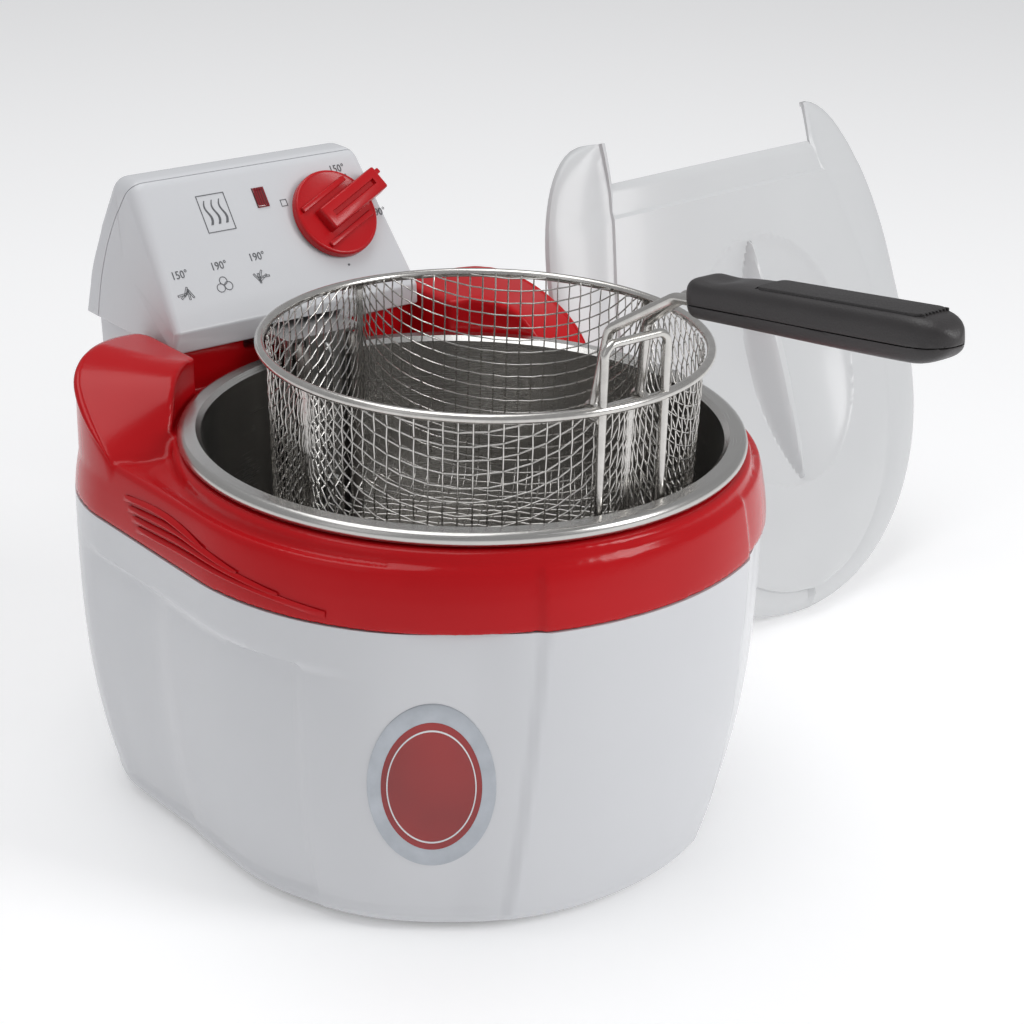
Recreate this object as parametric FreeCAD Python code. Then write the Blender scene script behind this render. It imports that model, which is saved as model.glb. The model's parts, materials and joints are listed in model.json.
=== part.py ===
import FreeCAD, Part
import math
import os
from FreeCAD import Placement, Rotation, Vector

# Deep fryer with a lift-off control head, drawn with the basket raised and the lid stood beside it.
# Millimetres, +Z up, -Y to the front. The origin is on the worktop, under the axis of the round pot.

os.makedirs("parts", exist_ok=True)

# ---------------------------------------------------------------- pot
rim_height = 175.0            # top of the rolled rim above the worktop
pot_radius = 107.0            # inside, at the mouth
pot_taper = 2.5               # the inside is this much narrower at the floor
pot_depth = 151.0
pot_corner = 26.0             # inside radius between wall and floor
pot_wall = 0.9
rim_width = 9.5               # from the inside of the mouth to the outside of the roll
rim_roll = 3.0                # section radius of the rolled edge
rim_bevel = 2.0

# ---------------------------------------------------------------- outer body and base
side_ledge = 14.5             # body beyond the rolled rim, at each side
front_ledge = 8.0
rear_deck = 33.5              # body beyond the rolled rim, behind
rear_corner = 76.0            # plan radius of the two rear corners
stand_height = 3.0            # standing rim under the base plate
body_wall = 2.5
body_draft = 15.0             # how far the walls draw in from the collar to the base
bottom_round = 5.0
base_thickness = 2.5
stand_radius = 86.0           # mean radius of the standing rim
stand_width = 14.0
foot_pad_radius = 5.0
foot_share = 0.6              # of the standing rim's height that each rubber pad fills
screw_radius = 1.6
screw_head_radius = 3.2
screw_head_height = 1.8
head_screw_length = 10.0
post_radius = 4.5
post_height = 11.0
post_across = 0.62            # screw posts, as a share of the half width
post_front = 0.46             # as a share of the reach to the front
post_back = 0.52              # as a share of the reach to the rear
rib_thickness = 2.5
vent_half = 30.0              # slots in the base plate
vent_width = 3.0
vent_pitch = 9.0
vent_rows = 7

# ---------------------------------------------------------------- collar
collar_drop = 12.0            # from the top of the rolled rim down to the collar's outer edge
collar_height = 25.0
collar_wall = 3.0
pot_gap = 1.2                 # round the pot where it hangs through the collar
lip_wall = 2.0
lip_link = 4.0                # height of the web that joins the lip to the collar
collar_slope = 4.0            # how far the outer wall leans in over its height
shelf_ring_width = 10.0       # raised ring that carries the pot's flange
shelf_ring_height = 5.7
lip_height = 8.0
ear_rise = 19.0               # top of the ears above the rolled rim
ear_front = 68.0              # foot of each ear's front face, behind the pot's axis
ear_lean = 30.0               # how far the front face runs back over the ear's height
ear_foot_inset = 9.0          # outside of the ears at the shelf, in from the body's side
ear_crest_inset = 35.0        # outside of the ears at the top, in from the body's side
ear_edge = 7.0                # width of the slope along each ear's upper edge
seat_rise = 6.5               # top of the head's seat above the rolled rim
seat_gap = 6.0                # from the rolled rim to the front of the seat
rim_gap = 2.0                 # from the rolled rim to the foot of the ears
sink = 6.0                    # how far the ears and the seat reach down into the shelf
peg_radius = 2.5              # works the interlock switch in the head
peg_height = 3.5
head_gap = 2.0                # from each side of the head to the ear beside it
head_lift_gap = 0.5           # from the seat to the bottom of the head

# ---------------------------------------------------------------- control head
head_width = 131.0            # over the sides, at the bottom
head_side_lean = 5.0          # how far each side leans in towards the top
head_height = 66.0
head_setback = 2.0            # from the rolled rim back to the chin
chin_lean = 1.5               # foot of the panel in front of the chin
head_depth = 75.5
chin_height = 10.0
panel_length = 58.5
panel_tilt = 52.6             # rise of the sloping panel above the horizontal, in degrees
head_wall = 2.5
head_corner = 9.0
rear_box_drop = 34.0          # how far the rear cover hangs down behind the body
rear_box_inset = 4.5          # sides of the rear box inside the head's sides
rear_box_gap = 2.5            # from the body to the rear box
seam_gap = 0.3

# ---------------------------------------------------------------- things on and in the head
knob_side = 32.5              # centre of the knob in from the side of the head
knob_up = 39.5                # centre of the knob from the bottom of the panel
knob_radius = 21.0
knob_disc = 6.0
knob_bar_width = 12.0
knob_bar_height = 9.0
knob_bar_reach = 28.5
knob_bar_tail = 7.0
knob_pointer = 33.0
knob_angle = 23.6             # how the bar points at rest, above the panel's own horizontal
knob_gap = 1.0
spindle_radius = 3.0
spindle_length = 12.0
spindle_sunk = 8.0            # below the face of the panel
lens_width = 6.4
lens_length = 9.8
lens_up = 54.0
lamp_radius = 2.8
lamp_length = 14.0
button_radius = 4.0
button_travel = 1.2
button_sunk = 12.0            # front of the button from the rear of the head
button_length = 9.5
button_across = -28.0
button_rise = 24.0            # above the bottom of the head
cord_bore = 3.75              # radius of the gland's bore
gland_length = 16.0
gland_radius = 7.0
gland_lip = 2.0
gland_nose = 4.0
gland_side = 31.0              # middle of the cord gland in from the side of the rear box
gland_drop = 20.0             # below the bottom of the head
gland_sunk = 12.0             # inner end from the rear of the head
moving_gap = 0.3              # clearance round anything that moves
fit_gap = 0.2                 # clearance round what is pushed in and stays
switch_inset = 27.5           # inner side of the switch from the side of the head
switch_width = 20.0
switch_depth = 10.0
switch_height = 15.0
terminal_inset = 22.0         # near side of the terminal block from the cord gland
terminal_width = 32.0
terminal_depth = 16.0
terminal_height = 13.0

# ---------------------------------------------------------------- heating element
tube_radius = 3.25
element_clearance = 24.0      # middle of the tube above the pot's floor
element_spread = 14.0         # each riser from the middle
riser_inset = 12.0            # risers inside the mouth of the pot
riser_depth = 17.0            # from the chin back to where the risers enter the head
riser_over = 2.2              # from the rolled rim up to the tube that crosses it
riser_sunk = 18.0             # how far the tube runs up into the head
element_reach = 72.0
sensor_radius = 2.8
sensor_length = 62.0
sensor_rise = 9.0             # foot of the bulb above the middle of the tube
bracket_plate = 1.5
bracket_foot = 46.0           # foot of the bracket above the pot's floor
bracket_side = 3.0            # bracket beyond each riser
capillary_radius = 1.0

# ---------------------------------------------------------------- basket
basket_clearance = 15.1       # from the rim wire to the mouth of the pot
basket_wire = 1.9             # radius of the rim wire
basket_depth = 97.0
basket_taper = 3.0
basket_corner = 13.0
basket_sheet = 0.8
basket_forward = 13.5         # axis of the basket in front of the pot's axis
basket_raise = 39.0           # rim wire above the rolled rim in the draining position
bracket_half = 15.5
bracket_wire = 1.7
bracket_rise = 25.0           # crossbar above the rim wire
bracket_drop = 54.0
pivot_inset = 11.0            # pivot wire from the rim wire, towards the middle
pivot_drop = 4.0
pivot_radius = 1.5

# ---------------------------------------------------------------- folding handle
handle_wire = 2.0
handle_half = 11.5            # each eye from the middle
eye_wire = 1.5
grip_length = 124.0
grip_width = 24.0
grip_height = 20.0
grip_slope = 7.4              # degrees
grip_round = 6.0
grip_split = -2.0             # parting plane from the middle of the grip
grip_front = 128.5            # in front of the pot's axis
grip_centre_height = 88.5     # front end of the grip above the rolled rim
wire_spread = 3.2             # each wire from the middle, inside the grip
wire_sunk = 38.0              # how far the wires run into the grip
grip_screw_reach = 70.0       # screw from the front end of the grip
pad_half = 7.0
pad_start = 34.0
pad_end = 10.0                # pad from the far end of the grip
pad_proud = 0.5

# ---------------------------------------------------------------- lid
lid_clearance = 2.5           # the closed lid stays this far inside the collar's top edge
lid_wall = 2.2
lid_rim = 3.0
lid_deck = 10.5               # height of the deck's outline over the rim
lid_crown = 17.0
lid_shoulder = 33.0           # from the rim in to the deck's outline
lid_corner = 60.0
lid_rear_inset = 15.0         # tips of the horns in front of the body's rear
lid_notch_side = 8.5          # notch wider than the head, each side
lid_notch_gap = 4.5           # front of the notch in front of the chin
lid_front_reach = 1.5         # front rim beyond the collar's top edge
ridge_length = 122.0
ridge_width = 11.0
ridge_rise = 4.0
scoop_half_width = 52.0
scoop_half_length = 66.0
scoop_depth = 11.0
scoop_centre = 8.0            # behind the pot's axis, lid closed
lid_lean = 22.3               # degrees back from upright
lid_yaw = 3.5
lid_gap = 5.5                 # from the body's side to the stood lid
lid_foot_y = 41.0             # where the stood lid touches the worktop

# ---------------------------------------------------------------- worked out from the above
rim_outer = pot_radius + rim_width
half_width = rim_outer + side_ledge
front_reach = rim_outer + front_ledge
rear_reach = rim_outer + rear_deck
collar_top = rim_height - collar_drop
collar_low = collar_top - collar_height
pot_floor = rim_height - pot_depth
plate_top = stand_height + base_thickness
screw_seat = stand_height + 0.6   # under the heads of the base screws
seat_top = rim_height + seat_rise
seat_front = rim_outer + seat_gap
ear_top = rim_height + ear_rise
ear_foot = half_width - ear_foot_inset
ear_crest = half_width - ear_crest_inset
head_front = rim_outer + head_setback
head_low = seat_top + head_lift_gap
head_top = head_low + head_height
head_rear = head_front + head_depth
head_crest_width = head_width - 2.0 * head_side_lean
head_inner_half = 0.5 * head_width + head_gap
rear_box_width = head_width - 2.0 * rear_box_inset
knob_across = 0.5 * head_width - knob_side
gland_across = 0.5 * rear_box_width - gland_side
panel_foot = head_front - chin_lean
button_z = head_low + button_rise
gland_z = head_low - gland_drop
switch_across = 0.5 * head_width - switch_inset
switch_back = seat_front + 14.0
peg_across = switch_across + 7.0
element_height = pot_floor + element_clearance
riser_back = pot_radius - riser_inset
riser_entry = head_front + riser_depth
riser_cross = rim_height + riser_over + tube_radius
riser_top = head_low + riser_sunk
basket_radius = pot_radius - basket_clearance - basket_wire
basket_rim_z = rim_height + basket_raise
grip_z = rim_height + grip_centre_height
lid_half = half_width - collar_slope - lid_clearance
lid_front = front_reach - collar_slope + lid_front_reach
lid_rear = rear_reach - lid_rear_inset
lid_notch_half = 0.5 * head_width + lid_notch_side
lid_notch = head_front - lid_notch_gap
lid_foot_x = half_width + lid_half + lid_gap
beyond = 300.0                # longer than anything that a cut has to pass through
proud = 1.0                   # how far a cut runs past the face it opens


def export(shape, node):
    shape.exportStep("parts/" + node + ".step")


def box(x0, x1, y0, y1, z0, z1):
    return Part.makeBox(x1 - x0, y1 - y0, z1 - z0, Vector(x0, y0, z0))


def cylinder(radius, length, base, axis=Vector(0, 0, 1)):
    return Part.makeCylinder(radius, length, base, axis)


def polygon(points):
    return Part.makePolygon(points + [points[0]])


def prism_x(points, half):
    """Solid with an outline given as (y, z), from -half to +half along X."""
    wire = polygon([Vector(-half, y, z) for y, z in points])
    return Part.Face(wire).extrude(Vector(2.0 * half, 0, 0))


def prism_y(points, y0, y1):
    """Solid with an outline given as (x, z), from y0 to y1."""
    wire = polygon([Vector(x, y0, z) for x, z in points])
    return Part.Face(wire).extrude(Vector(0, y1 - y0, 0))


def revolved(edges):
    return Part.Face(Part.Wire(edges)).revolve(Vector(0, 0, 0), Vector(0, 0, 1), 360)


def line(a, b):
    return Part.LineSegment(a, b).toShape()


def arc(a, b, c):
    return Part.Arc(a, b, c).toShape()


def bent_wire(points, radius, bends):
    """Round wire along straight runs with a tangent arc of the given radius at each corner."""
    edges = []
    start = points[0]
    for corner, after, bend in zip(points[1:-1], points[2:], bends):
        into = (corner - start).normalize()
        out = Vector(after - corner).normalize()
        turn = into.getAngle(out)
        cut = bend * math.tan(0.5 * turn)
        first = corner - into * cut
        last = corner + out * cut
        inward = (out - into).normalize()
        middle = corner + inward * (bend / math.cos(0.5 * turn) - bend)
        edges.append(line(start, first))
        edges.append(arc(first, middle, last))
        start = last
    edges.append(line(start, points[-1]))
    spine = Part.Wire(edges)
    heading = (points[1] - points[0]).normalize()
    ring = Part.Wire(Part.makeCircle(radius, points[0], heading))
    return spine.makePipeShell([ring], True, True)


def plan(half, front, back, corner, z):
    """Outline seen from above: half an ellipse in front, straight sides, two round rear corners."""
    ellipse = Part.Ellipse(Vector(0, 0, z), half, front)
    diagonal = corner * math.sqrt(0.5)
    cx = half - corner
    cy = back - corner
    edges = [
        Part.ArcOfEllipse(ellipse, math.pi, 2.0 * math.pi).toShape(),
        line(Vector(half, 0, z), Vector(half, cy, z)),
        arc(Vector(half, cy, z), Vector(cx + diagonal, cy + diagonal, z), Vector(cx, back, z)),
        line(Vector(cx, back, z), Vector(-cx, back, z)),
        arc(Vector(-cx, back, z), Vector(-cx - diagonal, cy + diagonal, z), Vector(-half, cy, z)),
        line(Vector(-half, cy, z), Vector(-half, 0, z)),
    ]
    return Part.Wire(edges)


def body_plan(inset, z):
    return plan(half_width - inset, front_reach - inset, rear_reach - inset, rear_corner - inset, z)


def body_inset(z):
    """The wall is nearly upright under the collar and draws in towards the base."""
    share = (collar_low - z) / (collar_low - stand_height)
    return body_draft * share ** 3


def body_form(inset, low, high):
    """Solid inside the body's wall surface, drawn in by inset."""
    span = collar_low - stand_height
    sections = [body_plan(inset + body_draft + bottom_round, low)]
    for share in (0.05, 0.17, 0.35, 0.57, 0.79):
        z = stand_height + span * share
        sections.append(body_plan(inset + body_inset(z), z))
    sections.append(body_plan(inset, high))
    return Part.makeLoft(sections, True, False)


# ================================================================ body
def post_places():
    spots = []
    for side in (-1, 1):
        spots.append(Vector(side * post_across * half_width, -post_front * front_reach, 0))
        spots.append(Vector(side * post_across * half_width, post_back * rear_reach, 0))
    return spots


def make_outer_body():
    outer = body_form(0.0, stand_height, collar_low)
    inner = body_form(body_wall, stand_height - proud, collar_low + proud)
    shell = outer.cut(inner)
    for spot in post_places():
        foot = Vector(spot.x, spot.y, plate_top)
        post = cylinder(post_radius, post_height, foot)
        outward = Vector(spot.x, spot.y, 0).normalize()
        rib = Part.makeBox(half_width, rib_thickness, post_height, Vector(0, -0.5 * rib_thickness, 0))
        rib.Placement = Placement(foot, Rotation(Vector(1, 0, 0), outward))
        shell = shell.fuse(post.fuse(rib).common(outer))
    for spot in post_places():
        pilot = cylinder(screw_radius, post_height, Vector(spot.x, spot.y, plate_top - proud))
        shell = shell.cut(pilot)
    return shell.removeSplitter()


def make_base_plate():
    low = stand_height
    edge = body_draft + bottom_round + body_wall + 2.0 * fit_gap
    plate = Part.Face(body_plan(edge, low)).extrude(Vector(0, 0, base_thickness))
    outer = cylinder(stand_radius + 0.5 * stand_width, low, Vector(0, 0, 0))
    inner = cylinder(stand_radius - 0.5 * stand_width, low, Vector(0, 0, 0))
    plate = plate.fuse(outer.cut(inner))
    for pad in foot_places():
        plate = plate.cut(cylinder(foot_pad_radius, foot_share * stand_height, pad))
    for spot in post_places():
        base = Vector(spot.x, spot.y, -proud)
        plate = plate.cut(cylinder(screw_radius + moving_gap, plate_top + 2.0 * proud, base))
        plate = plate.cut(cylinder(screw_head_radius + moving_gap, screw_seat + proud, base))
    for row in range(vent_rows):
        start = (row - 0.5 * (vent_rows - 1)) * vent_pitch - 0.5 * vent_width
        end = start + vent_width
        plate = plate.cut(box(-vent_half, vent_half, start, end, low - proud, plate_top + proud))
    return plate


def foot_places():
    spots = []
    for index in range(4):
        angle = math.radians(45 + 90 * index)
        spots.append(Vector(stand_radius * math.cos(angle), stand_radius * math.sin(angle), 0))
    return spots


def make_feet():
    height = foot_share * stand_height
    return Part.makeCompound([cylinder(foot_pad_radius, height, spot) for spot in foot_places()])


def make_base_screws():
    screws = []
    for spot in post_places():
        seat = Vector(spot.x, spot.y, screw_seat)
        head = cylinder(screw_head_radius, screw_head_height, seat - Vector(0, 0, screw_head_height))
        shank = cylinder(screw_radius, base_thickness + 7.0, seat)
        screws.append(head.fuse(shank))
    return Part.makeCompound(screws)


# ================================================================ collar
def ear(side, inset):
    """One of the two humps beside the head, drawn in by inset on every face."""
    foot_z = collar_top - sink
    top = ear_top - inset
    crest = ear_crest - inset
    foot = ear_foot - inset
    inner = head_inner_half + inset
    back = rear_reach - collar_slope
    front_foot = ear_front + inset * 1.3
    across = prism_y([(side * inner, foot_z), (side * inner, top), (side * (crest - ear_edge), top),
                      (side * crest, top - 5.0), (side * foot, collar_top), (side * foot, foot_z)], 0, beyond)
    along = prism_x([(front_foot, foot_z), (front_foot, collar_top), (front_foot + ear_lean, top - 7.0),
                     (front_foot + ear_lean + 8.0, top - 1.0), (front_foot + ear_lean + 22.0, top),
                     (back - 14.0 - inset, top), (back + 5.0 - inset, top - 16.0),
                     (back + 5.0 - inset, foot_z)], beyond)
    wall = Part.Face(body_plan(collar_slope + inset, foot_z)).extrude(Vector(0, 0, beyond))
    return across.common(along).common(wall)


def collar_form(inset):
    sections = [body_plan(inset, collar_low - (0.5 if inset else 0.0)),
                body_plan(0.25 * collar_slope + inset, collar_low + 0.5 * collar_height),
                body_plan(collar_slope + inset, collar_top - inset)]
    form = Part.makeLoft(sections, True, False)
    for side in (-1, 1):
        form = form.fuse(ear(side, inset))
    wall = Part.Face(body_plan(collar_slope + inset, collar_low)).extrude(Vector(0, 0, beyond))
    seat_half = head_inner_half + proud
    seat = box(-seat_half, seat_half, seat_front + inset, rear_reach, collar_top - sink, seat_top - inset)
    return form.fuse(seat.common(wall))


def make_collar():
    shell = collar_form(0.0).cut(collar_form(collar_wall))
    ring_inner = pot_radius + pot_wall + pot_gap
    ring_low = collar_top - collar_wall
    ring_high = collar_top + shelf_ring_height
    ring = cylinder(ring_inner + shelf_ring_width, ring_high - ring_low, Vector(0, 0, ring_low))
    shell = shell.fuse(ring)
    shell = shell.cut(cylinder(ring_inner, beyond, Vector(0, 0, ring_low - proud)))
    lip_edge = body_wall + moving_gap
    lip_outer = Part.Face(body_plan(lip_edge, collar_low - lip_height)).extrude(Vector(0, 0, lip_height))
    hollow = Part.Face(body_plan(lip_edge + lip_wall, collar_low - beyond))
    lip_inner = hollow.extrude(Vector(0, 0, 2.0 * beyond))
    link = Part.Face(body_plan(0.4 * collar_wall, collar_low)).extrude(Vector(0, 0, lip_link))
    shell = shell.fuse(lip_outer.fuse(link).cut(lip_inner))
    # room for the element's bracket to pass over the rim and under the head
    channel = element_spread + tube_radius + 10.0
    floor = rim_height + 1.5
    shell = shell.cut(box(-channel, channel, seat_front - proud, riser_entry + 12, floor, seat_top + 5))
    peg_foot = Vector(peg_across, switch_back, seat_top - collar_wall)
    peg = cylinder(peg_radius, peg_height + collar_wall, peg_foot)
    shell = shell.cut(cylinder(rim_outer + rim_gap, beyond, Vector(0, 0, ring_high)))
    return shell.fuse(peg).removeSplitter()


# ================================================================ pot
def make_pot():
    floor_radius = pot_radius - pot_taper
    z_low = pot_floor
    top = rim_height
    t = pot_wall
    roll_x = rim_outer - rim_roll
    bend = math.sqrt(0.5)

    def p(r, z):
        return Vector(r, 0, z)

    def corner(radius, z):
        centre = floor_radius - pot_corner
        middle = p(centre + radius * bend, z_low + pot_corner - radius * bend)
        return arc(p(centre, z_low + pot_corner - radius), middle, p(centre + radius, z))

    wall_low = z_low + pot_corner
    edges = [
        line(p(0, z_low - t), p(0, z_low)),
        line(p(0, z_low), p(floor_radius - pot_corner, z_low)),
        corner(pot_corner, wall_low),
        line(p(floor_radius, wall_low), p(pot_radius, top - rim_bevel)),
        line(p(pot_radius, top - rim_bevel), p(pot_radius + rim_bevel, top)),
        line(p(pot_radius + rim_bevel, top), p(roll_x, top)),
        arc(p(roll_x, top), p(rim_outer, top - rim_roll), p(roll_x, top - 2 * rim_roll)),
        line(p(roll_x, top - 2 * rim_roll), p(roll_x, top - 2 * rim_roll + t)),
        arc(p(roll_x, top - 2 * rim_roll + t), p(rim_outer - t, top - rim_roll), p(roll_x, top - t)),
        line(p(roll_x, top - t), p(pot_radius + rim_bevel + 0.4, top - t)),
        line(p(pot_radius + rim_bevel + 0.4, top - t), p(pot_radius + t, top - rim_bevel - 0.4)),
        line(p(pot_radius + t, top - rim_bevel - 0.4), p(floor_radius + t, wall_low)),
        corner(pot_corner + t, wall_low),
        line(p(floor_radius - pot_corner, z_low - t), p(0, z_low - t)),
    ]
    return revolved(edges)


# ================================================================ head
def head_outline(inset):
    """Side view of the head as (y, z) edges: chin, sloping panel, top, and the long curve of the rear."""
    tilt = math.radians(panel_tilt)
    low = head_low + inset
    chin = head_front + inset
    panel_low = Vector(0, panel_foot, head_low + chin_height)
    along = Vector(0, math.cos(tilt), math.sin(tilt))
    inward = Vector(0, math.sin(tilt), -math.cos(tilt))
    start = panel_low + inward * inset
    start = start + along * (0.3 * inset)
    end = panel_low + along * panel_length + inward * inset
    crest = Vector(0, end.y + 9.0, head_top - inset)
    turn = Vector(0, end.y + 3.6, head_top - inset - 2.6)
    top = Vector(0, head_rear - 27.0 - 0.5 * inset, head_top - inset - 0.3)
    back = Vector(0, head_rear - inset, head_low + inset)
    swell = Vector(0, head_rear - 7.8 - inset, head_low + 0.54 * head_height - 0.4 * inset)
    return [
        line(Vector(0, chin, low), start),
        line(start, end),
        arc(end, turn, crest),
        line(crest, top),
        arc(top, swell, back),
        line(back, Vector(0, chin, low)),
    ]


def extrude_x(edges, half):
    face = Part.Face(Part.Wire(edges))
    face.translate(Vector(-half, 0, 0))
    return face.extrude(Vector(2 * half, 0, 0))


def head_front_view(inset):
    """Front view of the head: sides that lean in, and round top corners."""
    low = 0.5 * head_width - inset
    high = 0.5 * head_crest_width - inset
    z0 = head_low - 1.0
    z1 = head_top - inset
    bend = head_corner * (1 - math.sqrt(0.5))
    points = [Vector(-low, 0, z0), Vector(-high, 0, z1 - head_corner), Vector(-high + head_corner, 0, z1),
              Vector(high - head_corner, 0, z1), Vector(high, 0, z1 - head_corner), Vector(low, 0, z0)]
    edges = [
        line(points[0], points[1]),
        arc(points[1], Vector(-high + bend, 0, z1 - bend), points[2]),
        line(points[2], points[3]),
        arc(points[3], Vector(high - bend, 0, z1 - bend), points[4]),
        line(points[4], points[5]),
        line(points[5], points[0]),
    ]
    return Part.Face(Part.Wire(edges)).extrude(Vector(0, beyond, 0))


def head_form(inset):
    return extrude_x(head_outline(inset), head_width).common(head_front_view(inset))


def seam_form(shift):
    """Everything in front of the curved seam between the housing and the rear cover."""
    top = Vector(0, head_front + 38.0 + shift, head_top + 2)
    swell = Vector(0, head_front + 55.0 + shift, head_low + 0.64 * head_height)
    low = Vector(0, head_front + 64.5 + shift, head_low)
    front = head_front - 30
    edges = [
        arc(top, swell, low),
        line(low, Vector(0, low.y, head_low - 5)),
        line(Vector(0, low.y, head_low - 5), Vector(0, front, head_low - 5)),
        line(Vector(0, front, head_low - 5), Vector(0, front, head_top + 2)),
        line(Vector(0, front, head_top + 2), top),
    ]
    return extrude_x(edges, head_width)


def on_panel(shape):
    """Place a shape drawn with X across the panel, Y up it and Z out of it."""
    panel = Placement(Vector(0, panel_foot, head_low + chin_height), Rotation(Vector(1, 0, 0), panel_tilt))
    shape.Placement = panel.multiply(shape.Placement)
    return shape


def make_front_housing():
    housing = head_form(0.0).common(seam_form(0.0)).cut(head_form(head_wall))
    housing = housing.cut(on_panel(cylinder(spindle_radius + 1.0, 20, Vector(knob_across, knob_up, -10))))
    housing = housing.cut(on_panel(box(-0.5 * lens_width, 0.5 * lens_width, lens_up - 0.5 * lens_length,
                                       lens_up + 0.5 * lens_length, -10, 10)))
    # pocket over the two risers, which leave the head under its chin
    side = element_spread + tube_radius + 4.0
    end = riser_entry + tube_radius + 1.0
    pocket = box(-side, side, head_front - 5, end, head_low - 1, head_low + 5.5)
    cap = box(-side - 2, side + 2, head_front + 0.5, end + 2, head_low + 0.5, head_low + 7.5)
    housing = housing.fuse(cap).cut(pocket)
    for x in (-element_spread, element_spread):
        housing = housing.cut(cylinder(tube_radius, 20, Vector(x, riser_entry, head_low - 5)))
    housing = housing.cut(cylinder(capillary_radius + fit_gap, 20, Vector(0, riser_entry, head_low - 5)))
    housing = housing.cut(cylinder(peg_radius + 0.7, 6, Vector(peg_across, switch_back, head_low - proud)))
    wiring = box(-22, 22, rear_reach + 8, rear_reach + 26, head_low - 1, head_low + head_wall + 1)
    return housing.cut(wiring).removeSplitter()


def rear_box(inset):
    front = rear_reach + rear_box_gap
    rear = head_rear - 2.0
    low = head_low - rear_box_drop
    half = 0.5 * rear_box_width - inset
    points = [(front + inset, head_low + 1.0 - 2 * inset), (front + inset, low + inset),
              (rear - 10, low + inset), (rear - 2 - inset, low + 7 + inset), (rear - inset, low + 16),
              (head_rear - inset, head_low + 1.0)]
    if inset:
        points[0] = (front + inset, head_low + 5.0)
        points[-1] = (head_rear - inset, head_low + 5.0)
    return prism_x(points, half)


def make_rear_cover():
    upper = head_form(0.0).cut(seam_form(seam_gap))
    lower = rear_box(0.0).cut(box(-100, 100, 0, head_front + 64.8 + seam_gap, head_low - 0.3, head_low + 20))
    cover = upper.fuse(lower)
    cover = cover.cut(head_form(head_wall).cut(box(-100, 100, 0, 300, head_low - 5, head_low + 3.0)))
    cover = cover.cut(rear_box(head_wall))
    reach = Vector(button_across, head_rear - 25, button_z)
    cover = cover.cut(cylinder(button_radius + moving_gap, 40, reach, Vector(0, 1, 0)))
    gland = Vector(gland_across, head_rear - gland_sunk, gland_z)
    cover = cover.cut(cylinder(gland_radius, beyond, gland, Vector(0, 1, 0)))
    for spot in head_screw_places():
        recess = spot + Vector(0, head_screw_length, 0)
        cover = cover.cut(cylinder(screw_radius, beyond, spot, Vector(0, 1, 0)))
        cover = cover.cut(cylinder(screw_head_radius + 0.1, beyond, recess, Vector(0, 1, 0)))
    return cover.removeSplitter()


def head_screw_places():
    """Points inside the rear wall; each screw's head sits in its recess behind its point."""
    y = rear_reach + 24.0
    z = head_low - 0.7 * rear_box_drop
    edge = 0.5 * rear_box_width - 11.0
    return [Vector(-edge, y, z), Vector(gland_across - 16.0, y, z), Vector(edge, y, z)]


def make_head_screws():
    screws = []
    for spot in head_screw_places():
        recess = spot + Vector(0, head_screw_length, 0)
        shank = cylinder(screw_radius, head_screw_length, spot, Vector(0, 1, 0))
        head = cylinder(screw_head_radius, screw_head_height, recess, Vector(0, 1, 0))
        screws.append(shank.fuse(head))
    return Part.makeCompound(screws)


def make_knob():
    disc = cylinder(knob_radius, knob_disc, Vector(0, 0, knob_gap))
    disc = disc.makeChamfer(1.2, [disc.Edges[0]])
    top = knob_gap + knob_disc
    half = 0.5 * knob_bar_width
    bar = box(-knob_bar_tail, knob_bar_reach, -half, half, knob_gap + 2.0, top + knob_bar_height)
    bar = bar.makeFillet(2.0, [edge for edge in bar.Edges if edge.BoundBox.ZLength > 5])
    pointer = box(knob_bar_reach - 5, knob_pointer, -1.5, 1.5, top - 2.0, top + 2.0)
    knob = disc.fuse(bar).fuse(pointer)
    bore = cylinder(spindle_radius + 0.05, knob_disc, Vector(0, 0, knob_gap - 1.0))
    knob = knob.cut(bore)
    knob.rotate(Vector(0, 0, 0), Vector(0, 0, 1), knob_angle)
    knob.translate(Vector(knob_across, knob_up, 0))
    return on_panel(knob)


def make_spindle():
    return on_panel(cylinder(spindle_radius, spindle_length, Vector(knob_across, knob_up, -spindle_sunk)))


def make_thermostat():
    inner = -head_wall - 1.0
    block = box(knob_across - 17, knob_across + 17, knob_up - 14, knob_up + 14, inner - 18, inner)
    bore = cylinder(spindle_radius + moving_gap, 8, Vector(knob_across, knob_up, inner - 6))
    return on_panel(block.cut(bore))


def make_lens():
    gap = 0.1
    face = box(-0.5 * lens_width + gap, 0.5 * lens_width - gap, lens_up - 0.5 * lens_length + gap,
               lens_up + 0.5 * lens_length - gap, -head_wall - 0.5, 0.8)
    flange = box(-0.5 * lens_width - 1, 0.5 * lens_width + 1, lens_up - 0.5 * lens_length - 1,
                 lens_up + 0.5 * lens_length + 1, -head_wall - 1.5, -head_wall - 0.1)
    return on_panel(face.fuse(flange))


def make_lamp():
    behind = head_wall + 2.0
    return on_panel(cylinder(lamp_radius, lamp_length, Vector(0, lens_up - 3, -behind - lamp_length)))


def make_button():
    start = Vector(button_across, head_rear - button_sunk, button_z)
    button = cylinder(button_radius, button_length, start, Vector(0, 1, 0))
    return button.makeFillet(1.0, [max(button.Edges, key=lambda edge: edge.CenterOfMass.y)])


def make_cutout():
    z = button_z
    rear = head_rear - button_sunk - button_travel - 0.5
    disc = cylinder(9.5, 7, Vector(button_across, rear - 7, z), Vector(0, 1, 0))
    return disc.fuse(box(button_across - 5, button_across + 5, rear - 13, rear - 7, z - 7, z + 7))


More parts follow.
